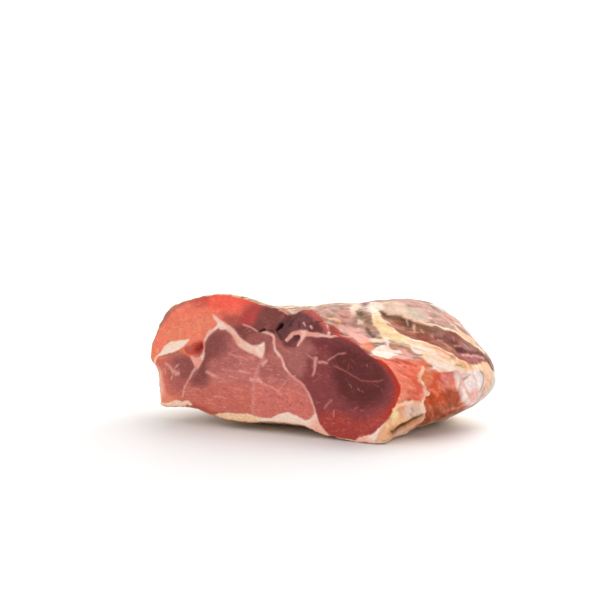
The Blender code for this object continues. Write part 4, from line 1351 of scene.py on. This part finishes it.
@dataclass(frozen=True)
class MeatFinish:
    """A finish for meat: the painted lean and fat, broken up by the grain of each.

    Attributes:
        name: The material's name.
        unrolled: True if the fibres follow the outer surface, False if they run through the solid.
        roughness: The lean's roughness.
        fat_roughness: The fat's roughness.
        grain: The size of the lean's grain, in mm.
        grain_depth: How far the grain's bump stands out, in mm.
        mottle: The size of the soft light and dark blotches, in mm.
        contrast: How much the blotches lighten and darken.
        fibre: The size of the fibres' streaks along the three axes that they are laid by, in mm.
        lean_over: How the fibres are turned about y, in degrees.
        waver: How much the streaks waver.
        strand: How much the streaks lighten and darken.
        stain_share: How strongly the darkest streaks are stained.
        fleck: The colour of the lightest streaks.
        fleck_share: How strongly it shows.
        scatter: How far light travels inside, in mm.
        fray: How far the fat's edge strays with the streaks, in mm.
        fading: How wide the fat's edge is, in mm.
        fat_ageing: How far the fat has turned peach along its strands.
        ior: The index of refraction, between water's and fat's.
        gloss: The specular level, low because salt dulls the film of oil.
        depth_share: The subsurface weight.
        depth_radius: How far red, green and blue travel inside, as shares of scatter.
    """

    name: str
    unrolled: bool
    roughness: float
    fat_roughness: float
    grain: float
    grain_depth: float
    mottle: float
    contrast: float
    fibre: tuple[float, float, float]
    lean_over: float
    waver: float
    strand: float
    stain_share: float
    fleck: Tone
    fleck_share: float
    scatter: float
    fray: float
    fading: float
    fat_ageing: float = 0.5
    ior: float = 1.44
    gloss: float = 0.16
    depth_share: float = 0.35
    depth_radius: tuple[float, float, float] = (1.0, 0.35, 0.2)

    def material(self) -> bpy.types.Material:
        """Makes the material.

        Returns:
            The material, which reads the mesh's tone, fat, fat_tone and along_fibres.
        """
        material = bpy.data.materials.new(self.name)
        material.use_nodes = True
        tree = material.node_tree
        where = add_node(tree, "TexCoord", output="Object")
        blotch = {"Vector": where, "Scale": 1 / (self.mottle * MM), "Detail": 3.0}
        speck = {"Vector": where, "Scale": 1 / (self.grain * MM), "Detail": 3.0, "Roughness": 0.6}
        mottle = add_node(tree, "TexNoise", blotch, "Fac")
        grain = add_node(tree, "TexNoise", speck, "Fac")
        if self.unrolled:
            where = add_node(tree, "Attribute", output="Vector", attribute_name="along_fibres")
        laying = {"Vector": where, "Scale": tuple(size * MM for size in self.fibre),
                  "Rotation": (0.0, math.radians(self.lean_over), 0.0)}
        laid = add_node(tree, "Mapping", laying, vector_type="TEXTURE")
        thread = {"Vector": laid, "Scale": 1.0, "Detail": 3.0, "Roughness": 0.55, "Distortion": self.waver}
        streak = add_node(tree, "TexNoise", thread, "Fac")
        swing = 0.6 * self.contrast  # the grain's contrast is a little less than the blotches'
        fine = add_node(tree, "MapRange", (grain, *NOISE_RANGE, 1 - swing, 1 + swing))
        inside = self.inside_fat(tree, streak)
        lean = self.lean_colour(tree, mottle, fine, streak)
        colours = {SHARE: inside, FIRST_COLOUR: lean, SECOND_COLOUR: self.fat_colour(tree, fine, streak)}
        colour = add_node(tree, "Mix", colours, MIXED_COLOUR, data_type="RGBA")
        rough = {SHARE: inside, FIRST_NUMBER: self.roughness, SECOND_NUMBER: self.fat_roughness}
        rough = add_node(tree, "Mix", rough)
        stepped = add_node(tree, "Math", (inside, 0.5, grain), operation="MULTIPLY_ADD")
        height = add_node(tree, "Math", (streak, 1.2, stepped), operation="MULTIPLY_ADD")
        relief = {"Height": height, "Strength": 0.6, "Distance": self.grain_depth * MM}
        bump = add_node(tree, "Bump", relief)
        shader = tree.nodes["Principled BSDF"]
        for name, output in (("Base Color", colour), ("Roughness", rough), ("Normal", bump)):
            tree.links.new(output, shader.inputs[name])
        for name, value in (("IOR", self.ior), ("Specular IOR Level", self.gloss),
                            ("Subsurface Weight", self.depth_share), ("Subsurface Radius", self.depth_radius),
                            ("Subsurface Scale", self.scatter * MM)):
            shader.inputs[name].default_value = value
        return material

    def inside_fat(self, tree: bpy.types.NodeTree, streak: bpy.types.NodeSocket) -> bpy.types.NodeSocket:
        """Makes the share of fat at each point, with an edge that frays along the fibres.

        Args:
            tree: The node tree.
            streak: The fibres' pattern.

        Returns:
            The share.
        """
        cover = add_node(tree, "Attribute", output="Fac", attribute_name="fat")
        ragged = add_node(tree, "Math", (streak, self.fray, cover), operation="MULTIPLY_ADD")
        edge = add_node(tree, "Math", (ragged, 0.5 * self.fray), operation="SUBTRACT")
        half = 0.5 * self.fading
        return add_node(tree, "MapRange", (edge, -half, half, 0.0, 1.0))

    def lean_colour(self, tree: bpy.types.NodeTree, mottle: bpy.types.NodeSocket, fine: bpy.types.NodeSocket,
                    streak: bpy.types.NodeSocket) -> bpy.types.NodeSocket:
        """Makes the lean's colour: stained or flecked along its fibres, and paler beside fat.

        Args:
            tree: The node tree.
            mottle: The pattern of the blotches.
            fine: The grain's lightening and darkening.
            streak: The fibres' pattern.

        Returns:
            The colour.
        """
        tone = add_node(tree, "Attribute", output="Color", attribute_name="tone")
        fat_tone = add_node(tree, "Attribute", output="Color", attribute_name="fat_tone")
        cover = add_node(tree, "Attribute", output="Fac", attribute_name="fat")
        shade = add_node(tree, "MapRange", (mottle, *NOISE_RANGE, 1 - self.contrast, 1 + self.contrast))
        strand = add_node(tree, "MapRange", (streak, *NOISE_RANGE, 1 - self.strand, 1 + self.strand))
        value = add_node(tree, "Math", (shade, fine), operation="MULTIPLY")
        value = add_node(tree, "Math", (value, strand), operation="MULTIPLY")
        plain = add_node(tree, "HueSaturation", {"Value": value, "Color": tone})
        stain = add_node(tree, "MapRange", (streak, *STAIN_SHOWS, 0.0, self.stain_share))
        colours = {SHARE: stain, FIRST_COLOUR: plain, SECOND_COLOUR: (*linear(Tone.STAIN.value), 1.0)}
        stained = add_node(tree, "Mix", colours, MIXED_COLOUR, data_type="RGBA", blend_type="MULTIPLY")
        crowd = add_node(tree, "MapRange", (mottle, *FLECKS_CROWD, 0.0, self.fleck_share))
        bright = add_node(tree, "MapRange", (streak, *FLECKS_BRIGHT, 0.0, 1.0))
        brightness = add_node(tree, "RGBToBW", (tone,))
        allowed = add_node(tree, "MapRange", (brightness, *FLECKED_LEAN, LEAST_FLECKED, 1.0))
        showing = add_node(tree, "Math", (crowd, allowed), operation="MULTIPLY")
        showing = add_node(tree, "Math", (showing, bright), operation="MULTIPLY")
        colours = {SHARE: showing, FIRST_COLOUR: stained, SECOND_COLOUR: (*linear(self.fleck.value), 1.0)}
        flecked = add_node(tree, "Mix", colours, MIXED_COLOUR, data_type="RGBA")
        beside = add_node(tree, "MapRange", (cover, *PALE_BESIDE_FAT, 0.0, PALENESS))
        colours = {SHARE: beside, FIRST_COLOUR: flecked, SECOND_COLOUR: fat_tone}
        return add_node(tree, "Mix", colours, MIXED_COLOUR, data_type="RGBA")

    def fat_colour(self, tree: bpy.types.NodeTree, fine: bpy.types.NodeSocket,
                   streak: bpy.types.NodeSocket) -> bpy.types.NodeSocket:
        """Makes the fat's colour, turned peach with age along its strands.

        Args:
            tree: The node tree.
            fine: The grain's lightening and darkening.
            streak: The fibres' pattern.

        Returns:
            The colour.
        """
        fat_tone = add_node(tree, "Attribute", output="Color", attribute_name="fat_tone")
        ageing = add_node(tree, "MapRange", (streak, *AGEING_SHOWS, 0.0, self.fat_ageing))
        colours = {SHARE: ageing, FIRST_COLOUR: fat_tone, SECOND_COLOUR: (*linear(Tone.AGED_FAT.value), 1.0)}
        aged = add_node(tree, "Mix", colours, MIXED_COLOUR, data_type="RGBA", blend_type="MULTIPLY")
        return add_node(tree, "HueSaturation", {"Value": fine, "Color": aged})


# The knife leaves the cut lean moist, with its fibres end on, so it has a soft sheen and a fine wet grain.
CUT_LEAN = MeatFinish("dry_cured_lean_knife_cut", unrolled=False, roughness=0.42, fat_roughness=0.40,
                      grain=1.2, grain_depth=0.22, mottle=7.0, contrast=0.07, fibre=(2.6, 0.9, 0.9),
                      lean_over=6.0, waver=0.3, strand=0.05, stain_share=0.2, fleck=Tone.PINK_FAT,
                      fleck_share=0.22, scatter=1.0, fray=1.1, fading=0.9)
# Months of hanging dry the outside to a tough skin under a film of its own oil, wrinkled along the fibres.
DRIED_CRUST = MeatFinish("air_dried_crust", unrolled=True, roughness=0.46, fat_roughness=0.42, grain=2.0,
                         grain_depth=0.45, mottle=6.0, contrast=0.12, fibre=(2.2, 2.2, 9.0), lean_over=0.0,
                         waver=0.2, strand=0.07, stain_share=0.15, fleck=Tone.CREAM, fleck_share=0.3,
                         scatter=1.2, fray=3.0, fading=1.2)
# The skin side keeps its rind, which the curing fat has soaked golden and which stays smooth and greasy.
GREASY_RIND = MeatFinish("golden_cured_rind", unrolled=False, roughness=0.44, fat_roughness=0.42, grain=1.8,
                         grain_depth=0.5, mottle=9.0, contrast=0.08, fibre=(5.0, 5.0, 5.0), lean_over=0.0,
                         waver=0.4, strand=0.08, stain_share=0.3, fleck=Tone.RIND_GOLD, fleck_share=0.3,
                         scatter=1.2, fray=2.0, fading=1.2)


@dataclass
class HamBody:
    """The whole ham as one closed skin, fine enough to hold its seams, gaps and creases.

    Attributes:
        node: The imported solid.
        voxel: The pitch of the even mesh, in metres.
        cut_reach: How far behind the cut a face may still count as the cut, in mm.
        cut_facing: How squarely it must look forwards.
        least_seen: How squarely a face must be seen from the viewpoint to be made finer.
        rind_reach: How far outside the rind its finish begins, in mm.
        fat_reach: The furthest that the material needs to know about the distance to fat, in mm.
        edge_facing: How squarely a point looks forwards where the cut's looks begin and where they are full.
        edge_fade: How far behind cut_reach the cut's looks fade out, in mm.
        strays: The length and the reach, in mm, of each shift that roughens what is painted.
        pits: The length and the height, in mm, of each ripple of the outer surface.
        swell: The same for the one ripple of the cut.
        weld: How close together points become one, in metres.
        roundings: How often the mesh is smoothed, before and after it is made finer.
        splits: How often the edges of the cut, and of the side beside it, are split.
    """

    node: bpy.types.Object
    voxel: float = 1.98 * MM
    cut_reach: float = 6.0
    cut_facing: float = 0.6
    least_seen: float = 0.08
    rind_reach: float = 3.0
    fat_reach: float = 8.0
    edge_facing: tuple[float, float] = (0.45, 0.75)
    edge_fade: float = 2.0
    strays: tuple = ((9.0, 1.0), (3.0, 0.5))
    pits: tuple = ((7.0, 0.5), (3.2, 0.25))
    swell: tuple[float, float] = (14.0, 0.25)
    weld: float = 0.01 * MM
    roundings: tuple[int, int] = (3, 2)
    splits: tuple[int, int] = (2, 1)

    def is_cut(self, normal: Vector, middle: Vector) -> bool:
        """Tells from a face's normal and middle whether it belongs to the cut."""
        return normal.y < -self.cut_facing and middle.y < CAD_LOW.y + self.cut_reach * MM

    def remeshed(self) -> bpy.types.Object:
        """Gives the solid an even fine mesh.

        Returns:
            The new object, at the origin.
        """
        mesh = self.node.data.copy()
        bm = bmesh.new()
        bm.from_mesh(mesh)
        bmesh.ops.remove_doubles(bm, verts=bm.verts, dist=self.weld)
        bm.to_mesh(mesh)
        bm.free()
        rough = bpy.data.objects.new("ham_source", mesh)
        bpy.context.scene.collection.objects.link(rough)
        remesh = rough.modifiers.new("even_mesh", "REMESH")
        remesh.mode = "VOXEL"
        remesh.voxel_size = self.voxel
        graph = bpy.context.evaluated_depsgraph_get()
        fine = bpy.data.meshes.new_from_object(rough.evaluated_get(graph))
        bpy.data.objects.remove(rough)
        fine.name = "cured_ham"
        piece = bpy.data.objects.new("cured_ham", fine)
        bpy.context.scene.collection.objects.link(piece)
        return piece

    def refine(self, mesh: bpy.types.Mesh) -> None:
        """Smooths the voxels away, and makes the cut face finest and the side beside it finer.

        Args:
            mesh: The remeshed ham.
        """
        bm = bmesh.new()
        bm.from_mesh(mesh)
        self.smooth(bm, self.roundings[0])
        bm.normal_update()
        viewer = ORIGIN + Vector(Viewpoint.stand)
        # Dicts keep the mesh's own order, which sets do not, so each run gives the same mesh
        on_cut, beside = {}, {}
        for face in bm.faces:
            middle = face.calc_center_median()
            if self.is_cut(face.normal, middle):
                on_cut.update(dict.fromkeys(face.edges))
            elif face.normal.dot((viewer - middle).normalized()) > self.least_seen:
                beside.update(dict.fromkeys(face.edges))
        beside = [edge for edge in beside if edge not in on_cut]
        for edges, cuts in zip((list(on_cut), beside), self.splits):
            bmesh.ops.subdivide_edges(bm, edges=edges, cuts=cuts, use_grid_fill=True)
        bmesh.ops.triangulate(bm, faces=bm.faces)
        self.smooth(bm, self.roundings[1])
        bm.to_mesh(mesh)
        bm.free()

    @staticmethod
    def smooth(bm: bmesh.types.BMesh, rounds: int) -> None:
        """Smooths a mesh.

        Args:
            bm: The mesh.
            rounds: How many times each point moves to the middle of its neighbours, half the way.
        """
        for _ in range(rounds):
            bmesh.ops.smooth_vert(bm, verts=bm.verts, factor=0.5, use_axis_x=True, use_axis_y=True,
                                  use_axis_z=True)

    def build(self) -> bpy.types.Object:
        """Builds the ham, paints it, raises its relief and dresses it.

        Returns:
            The finished piece.
        """
        piece = self.remeshed()
        mesh = piece.data
        self.refine(mesh)
        world = self.read(mesh.vertices, "co")
        normals = self.read(mesh.vertex_normals, "vector")
        places = (world - np.array(ORIGIN)) / MM
        strayed = places
        for length, reach in self.strays:
            strayed = strayed + wander(places, length, reach)
        behind = ramp(self.cut_reach + self.edge_fade, self.cut_reach, places[:, 1])
        on_cut = ramp(*self.edge_facing, -normals[:, 1]) * behind
        cut = CutFace(strayed[:, ::2], strayed[:, ::2])
        cut.paint()
        outside = self.wrap(strayed)
        outside.paint()
        self.store_looks(mesh, cut, outside, on_cut)
        pitted = sum(height * ripple(places, length) for length, height in self.pits)
        length, height = self.swell
        rise = cut.rise * on_cut + outside.rise * (1 - on_cut)
        rise += (1 - on_cut) * pitted + on_cut * height * ripple(places, length)
        moved = world + rise[:, None] * MM * normals
        mesh.vertices.foreach_set("co", np.clip(moved, CAD_LOW, CAD_HIGH).ravel())
        mesh.update()
        mesh.shade_smooth()
        self.dress(piece)
        return piece

    def wrap(self, places: np.ndarray) -> OuterSurface:
        """Charts the outer surface by turn and depth.

        Args:
            places: Where its points are, in mm.

        Returns:
            The surface, not painted yet.
        """
        drift = np.clip(places[:, 1:2] / BODY_LENGTH, 0.0, 1.0)
        arms = places[:, ::2] - AXIS_START - drift * (AXIS_END - AXIS_START)
        turn = np.degrees(np.arctan2(arms[:, 1], arms[:, 0]))
        along = self.unroll(turn, places[:, 1])
        return OuterSurface(places, np.column_stack([turn, places[:, 1]]), along)

    def store_looks(self, mesh: bpy.types.Mesh, cut: CutFace, outside: OuterSurface,
                    on_cut: np.ndarray) -> None:
        """Keeps the painted looks in the mesh.

        Args:
            mesh: The ham's mesh.
            cut: The painted cut.
            outside: The painted outer surface.
            on_cut: How far each point belongs to the cut, from 0 to 1.
        """
        share = on_cut[:, None]
        fat = np.where(on_cut > 0.5, cut.fat, outside.fat)
        self.store(mesh, "rind", "FLOAT", outside.skin)
        self.store(mesh, "along_fibres", "FLOAT_VECTOR", outside.along * MM)
        self.store(mesh, "tone", "FLOAT_COLOR", cut.tone * share + outside.tone * (1 - share))
        self.store(mesh, "fat_tone", "FLOAT_COLOR", cut.fat_tone * share + outside.fat_tone * (1 - share))
        self.store(mesh, "fat", "FLOAT", np.clip(fat, -self.fat_reach, self.fat_reach))

    def dress(self, piece: bpy.types.Object) -> None:
        """Gives the ham its three finishes and ties it to the frame.

        Args:
            piece: The ham.
        """
        mesh = piece.data
        mesh.materials.clear()
        for finish in (CUT_LEAN, DRIED_CRUST, GREASY_RIND):
            mesh.materials.append(finish.material())
        rind = np.empty(len(mesh.vertices))
        mesh.attributes["rind"].data.foreach_get("value", rind)
        for face in mesh.polygons:
            if self.is_cut(face.normal, face.center):
                face.material_index = 0
            else:
                face.material_index = 2 if rind[face.vertices[0]] > -self.rind_reach else 1
        mesh.update()
        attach(piece, "root")
        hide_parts("ham")

    @staticmethod
    def read(items: bpy.types.bpy_prop_collection, name: str) -> np.ndarray:
        """Reads a place or a direction from each of a mesh's points, one a row."""
        values = np.empty(len(items) * 3)
        items.foreach_get(name, values)
        return values.reshape(-1, 3)

    @staticmethod
    def unroll(turn: np.ndarray, depth: np.ndarray) -> np.ndarray:
        """Lays the outer surface round an even drum whose length runs with the fibres.

        Args:
            turn: Each point's turn, in degrees.
            depth: Each point's depth behind the cut, in mm.

        Returns:
            The points' places on the drum, in mm.
        """
        drum = math.degrees(MM_PER_DEGREE)
        angle = np.radians(turn + SPIRAL * depth)
        return np.column_stack([drum * np.cos(angle), drum * np.sin(angle), depth])

    @staticmethod
    def store(mesh: bpy.types.Mesh, name: str, kind: str, values: np.ndarray) -> None:
        """Keeps a value for each point in the mesh, where the material reads it.

        Args:
            mesh: The mesh.
            name: The attribute's name.
            kind: The attribute's type: FLOAT, FLOAT_VECTOR or FLOAT_COLOR.
            values: A number, or a row of three for a place or a colour, for each point.
        """
        part = {"FLOAT": "value", "FLOAT_VECTOR": "vector", "FLOAT_COLOR": "color"}[kind]
        if kind == "FLOAT_COLOR":
            values = np.column_stack([values, np.ones(len(values))])
        layer = mesh.attributes.new(name, kind, "POINT")
        layer.data.foreach_set(part, values.astype(np.float32).ravel())


@dataclass(frozen=True)
class SoftBox:
    """A large box that gives soft light.

    Attributes:
        name: The light's name.
        place: Where it hangs, in metres.
        aim: What it faces, in metres.
        size: The length of its sides, in metres.
        power: Its power, in watts.
    """

    name: str
    place: tuple[float, float, float]
    aim: tuple[float, float, float]
    size: float
    power: float

    def hang(self) -> None:
        """Hangs the box in the scene."""
        light = bpy.data.lights.new(self.name, "AREA")
        light.size = self.size
        light.energy = self.power
        box = bpy.data.objects.new(self.name, light)
        box.location = self.place
        box.rotation_euler = (Vector(self.aim) - Vector(self.place)).to_track_quat("-Z", "Y").to_euler()
        bpy.context.scene.collection.objects.link(box)


HAM_MIDDLE = (0.0, 0.0, 0.04)  # what the boxes face, in metres
WALL_MIDDLE = (-1.0, 2.6, 0.9)


@dataclass
class Studio:
    """A pale sweep of paper and soft light from large boxes, with its sizes in metres."""

    floor_reach: float = 6.0
    sweep_start: float = 1.6
    sweep_radius: float = 0.8
    sweep_steps: int = 16
    wall_height: float = 2.5
    paper: str = "#f6f5f4"
    paper_roughness: float = 0.6
    surroundings: float = 0.5  # the strength of their white light
    boxes: tuple[SoftBox, ...] = (
        SoftBox("top_box", (0.5, 0.6, 1.5), HAM_MIDDLE, size=1.6, power=18.0),
        SoftBox("front_box", (-0.6, -1.9, 0.9), HAM_MIDDLE, size=1.8, power=14.0),
        SoftBox("right_box", (1.8, -0.2, 0.8), HAM_MIDDLE, size=1.2, power=5.0),
        SoftBox("wall_wash", (-0.6, 1.2, 2.0), WALL_MIDDLE, size=2.0, power=60.0),
    )

    def build(self) -> None:
        """Builds the sweep, the lights and the pale surroundings."""
        self.build_sweep()
        for box in self.boxes:
            box.hang()
        world = bpy.data.worlds.new("studio")
        world.use_nodes = True
        background = world.node_tree.nodes["Background"]
        background.inputs["Color"].default_value = (1.0, 1.0, 1.0, 1.0)
        background.inputs["Strength"].default_value = self.surroundings
        bpy.context.scene.world = world

    def build_sweep(self) -> None:
        """Builds the floor, which curves up to a wall far behind the ham."""
        bm = bmesh.new()
        start = bm.verts.new((-self.floor_reach, -self.floor_reach, 0.0))
        knee = bm.verts.new((-self.floor_reach, self.sweep_start, 0.0))
        bm.edges.new((start, knee))
        centre = (0.0, self.sweep_start, self.sweep_radius)
        turned = bmesh.ops.spin(bm, geom=[knee], cent=centre, axis=(1.0, 0.0, 0.0), angle=math.pi / 2,
                                steps=self.sweep_steps)
        top = turned["geom_last"][0]
        bmesh.ops.extrude_vert_indiv(bm, verts=[top])
        bm.verts.ensure_lookup_table()
        bm.verts[-1].co.z += self.wall_height
        wide = bmesh.ops.extrude_edge_only(bm, edges=bm.edges[:])
        moved = [item for item in wide["geom"] if isinstance(item, bmesh.types.BMVert)]
        bmesh.ops.translate(bm, verts=moved, vec=(2 * self.floor_reach, 0.0, 0.0))
        bmesh.ops.recalc_face_normals(bm, faces=bm.faces)
        mesh = bpy.data.meshes.new("paper_sweep")
        bm.to_mesh(mesh)
        bm.free()
        mesh.shade_smooth()
        sweep = bpy.data.objects.new("paper_sweep", mesh)
        bpy.context.scene.collection.objects.link(sweep)
        material = bpy.data.materials.new("matt_backdrop_paper")
        material.use_nodes = True
        shader = material.node_tree.nodes["Principled BSDF"]
        shader.inputs["Base Color"].default_value = (*linear(self.paper), 1.0)
        shader.inputs["Roughness"].default_value = self.paper_roughness
        mesh.materials.append(material)


@dataclass
class Viewpoint:
    """Where the photograph was taken from."""

    stand: tuple[float, float, float] = (0.5391, -0.8861, 0.1974)  # metres from the middle of the cut's foot
    bearing: float = 30.0  # degrees left of straight on to the cut
    dip: float = 5.2  # degrees below the horizon
    lens: float = 82.0  # mm
    sensor: float = 36.0  # mm

    def build(self) -> None:
        """Makes the camera and hands it to the scene."""
        data = bpy.data.cameras.new("camera")
        data.lens = self.lens
        data.sensor_width = self.sensor
        camera = bpy.data.objects.new("camera", data)
        camera.location = ORIGIN + Vector(self.stand)
        camera.rotation_euler = (math.radians(90.0 - self.dip), 0.0, math.radians(self.bearing))
        bpy.context.scene.collection.objects.link(camera)
        bpy.context.scene.camera = camera


def main() -> None:
    """Builds the scene in order and reports each piece."""
    logging.basicConfig(level=logging.INFO)
    bpy.context.scene.view_settings.view_transform = "Standard"
    Viewpoint().build()
    Studio().build()
    LOG.info("the viewpoint and the studio are set")
    piece = HamBody(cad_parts["ham"]).build()
    LOG.info("%s: %d triangles", piece.name, len(piece.data.polygons))


if __name__ == "__main__":
    main()
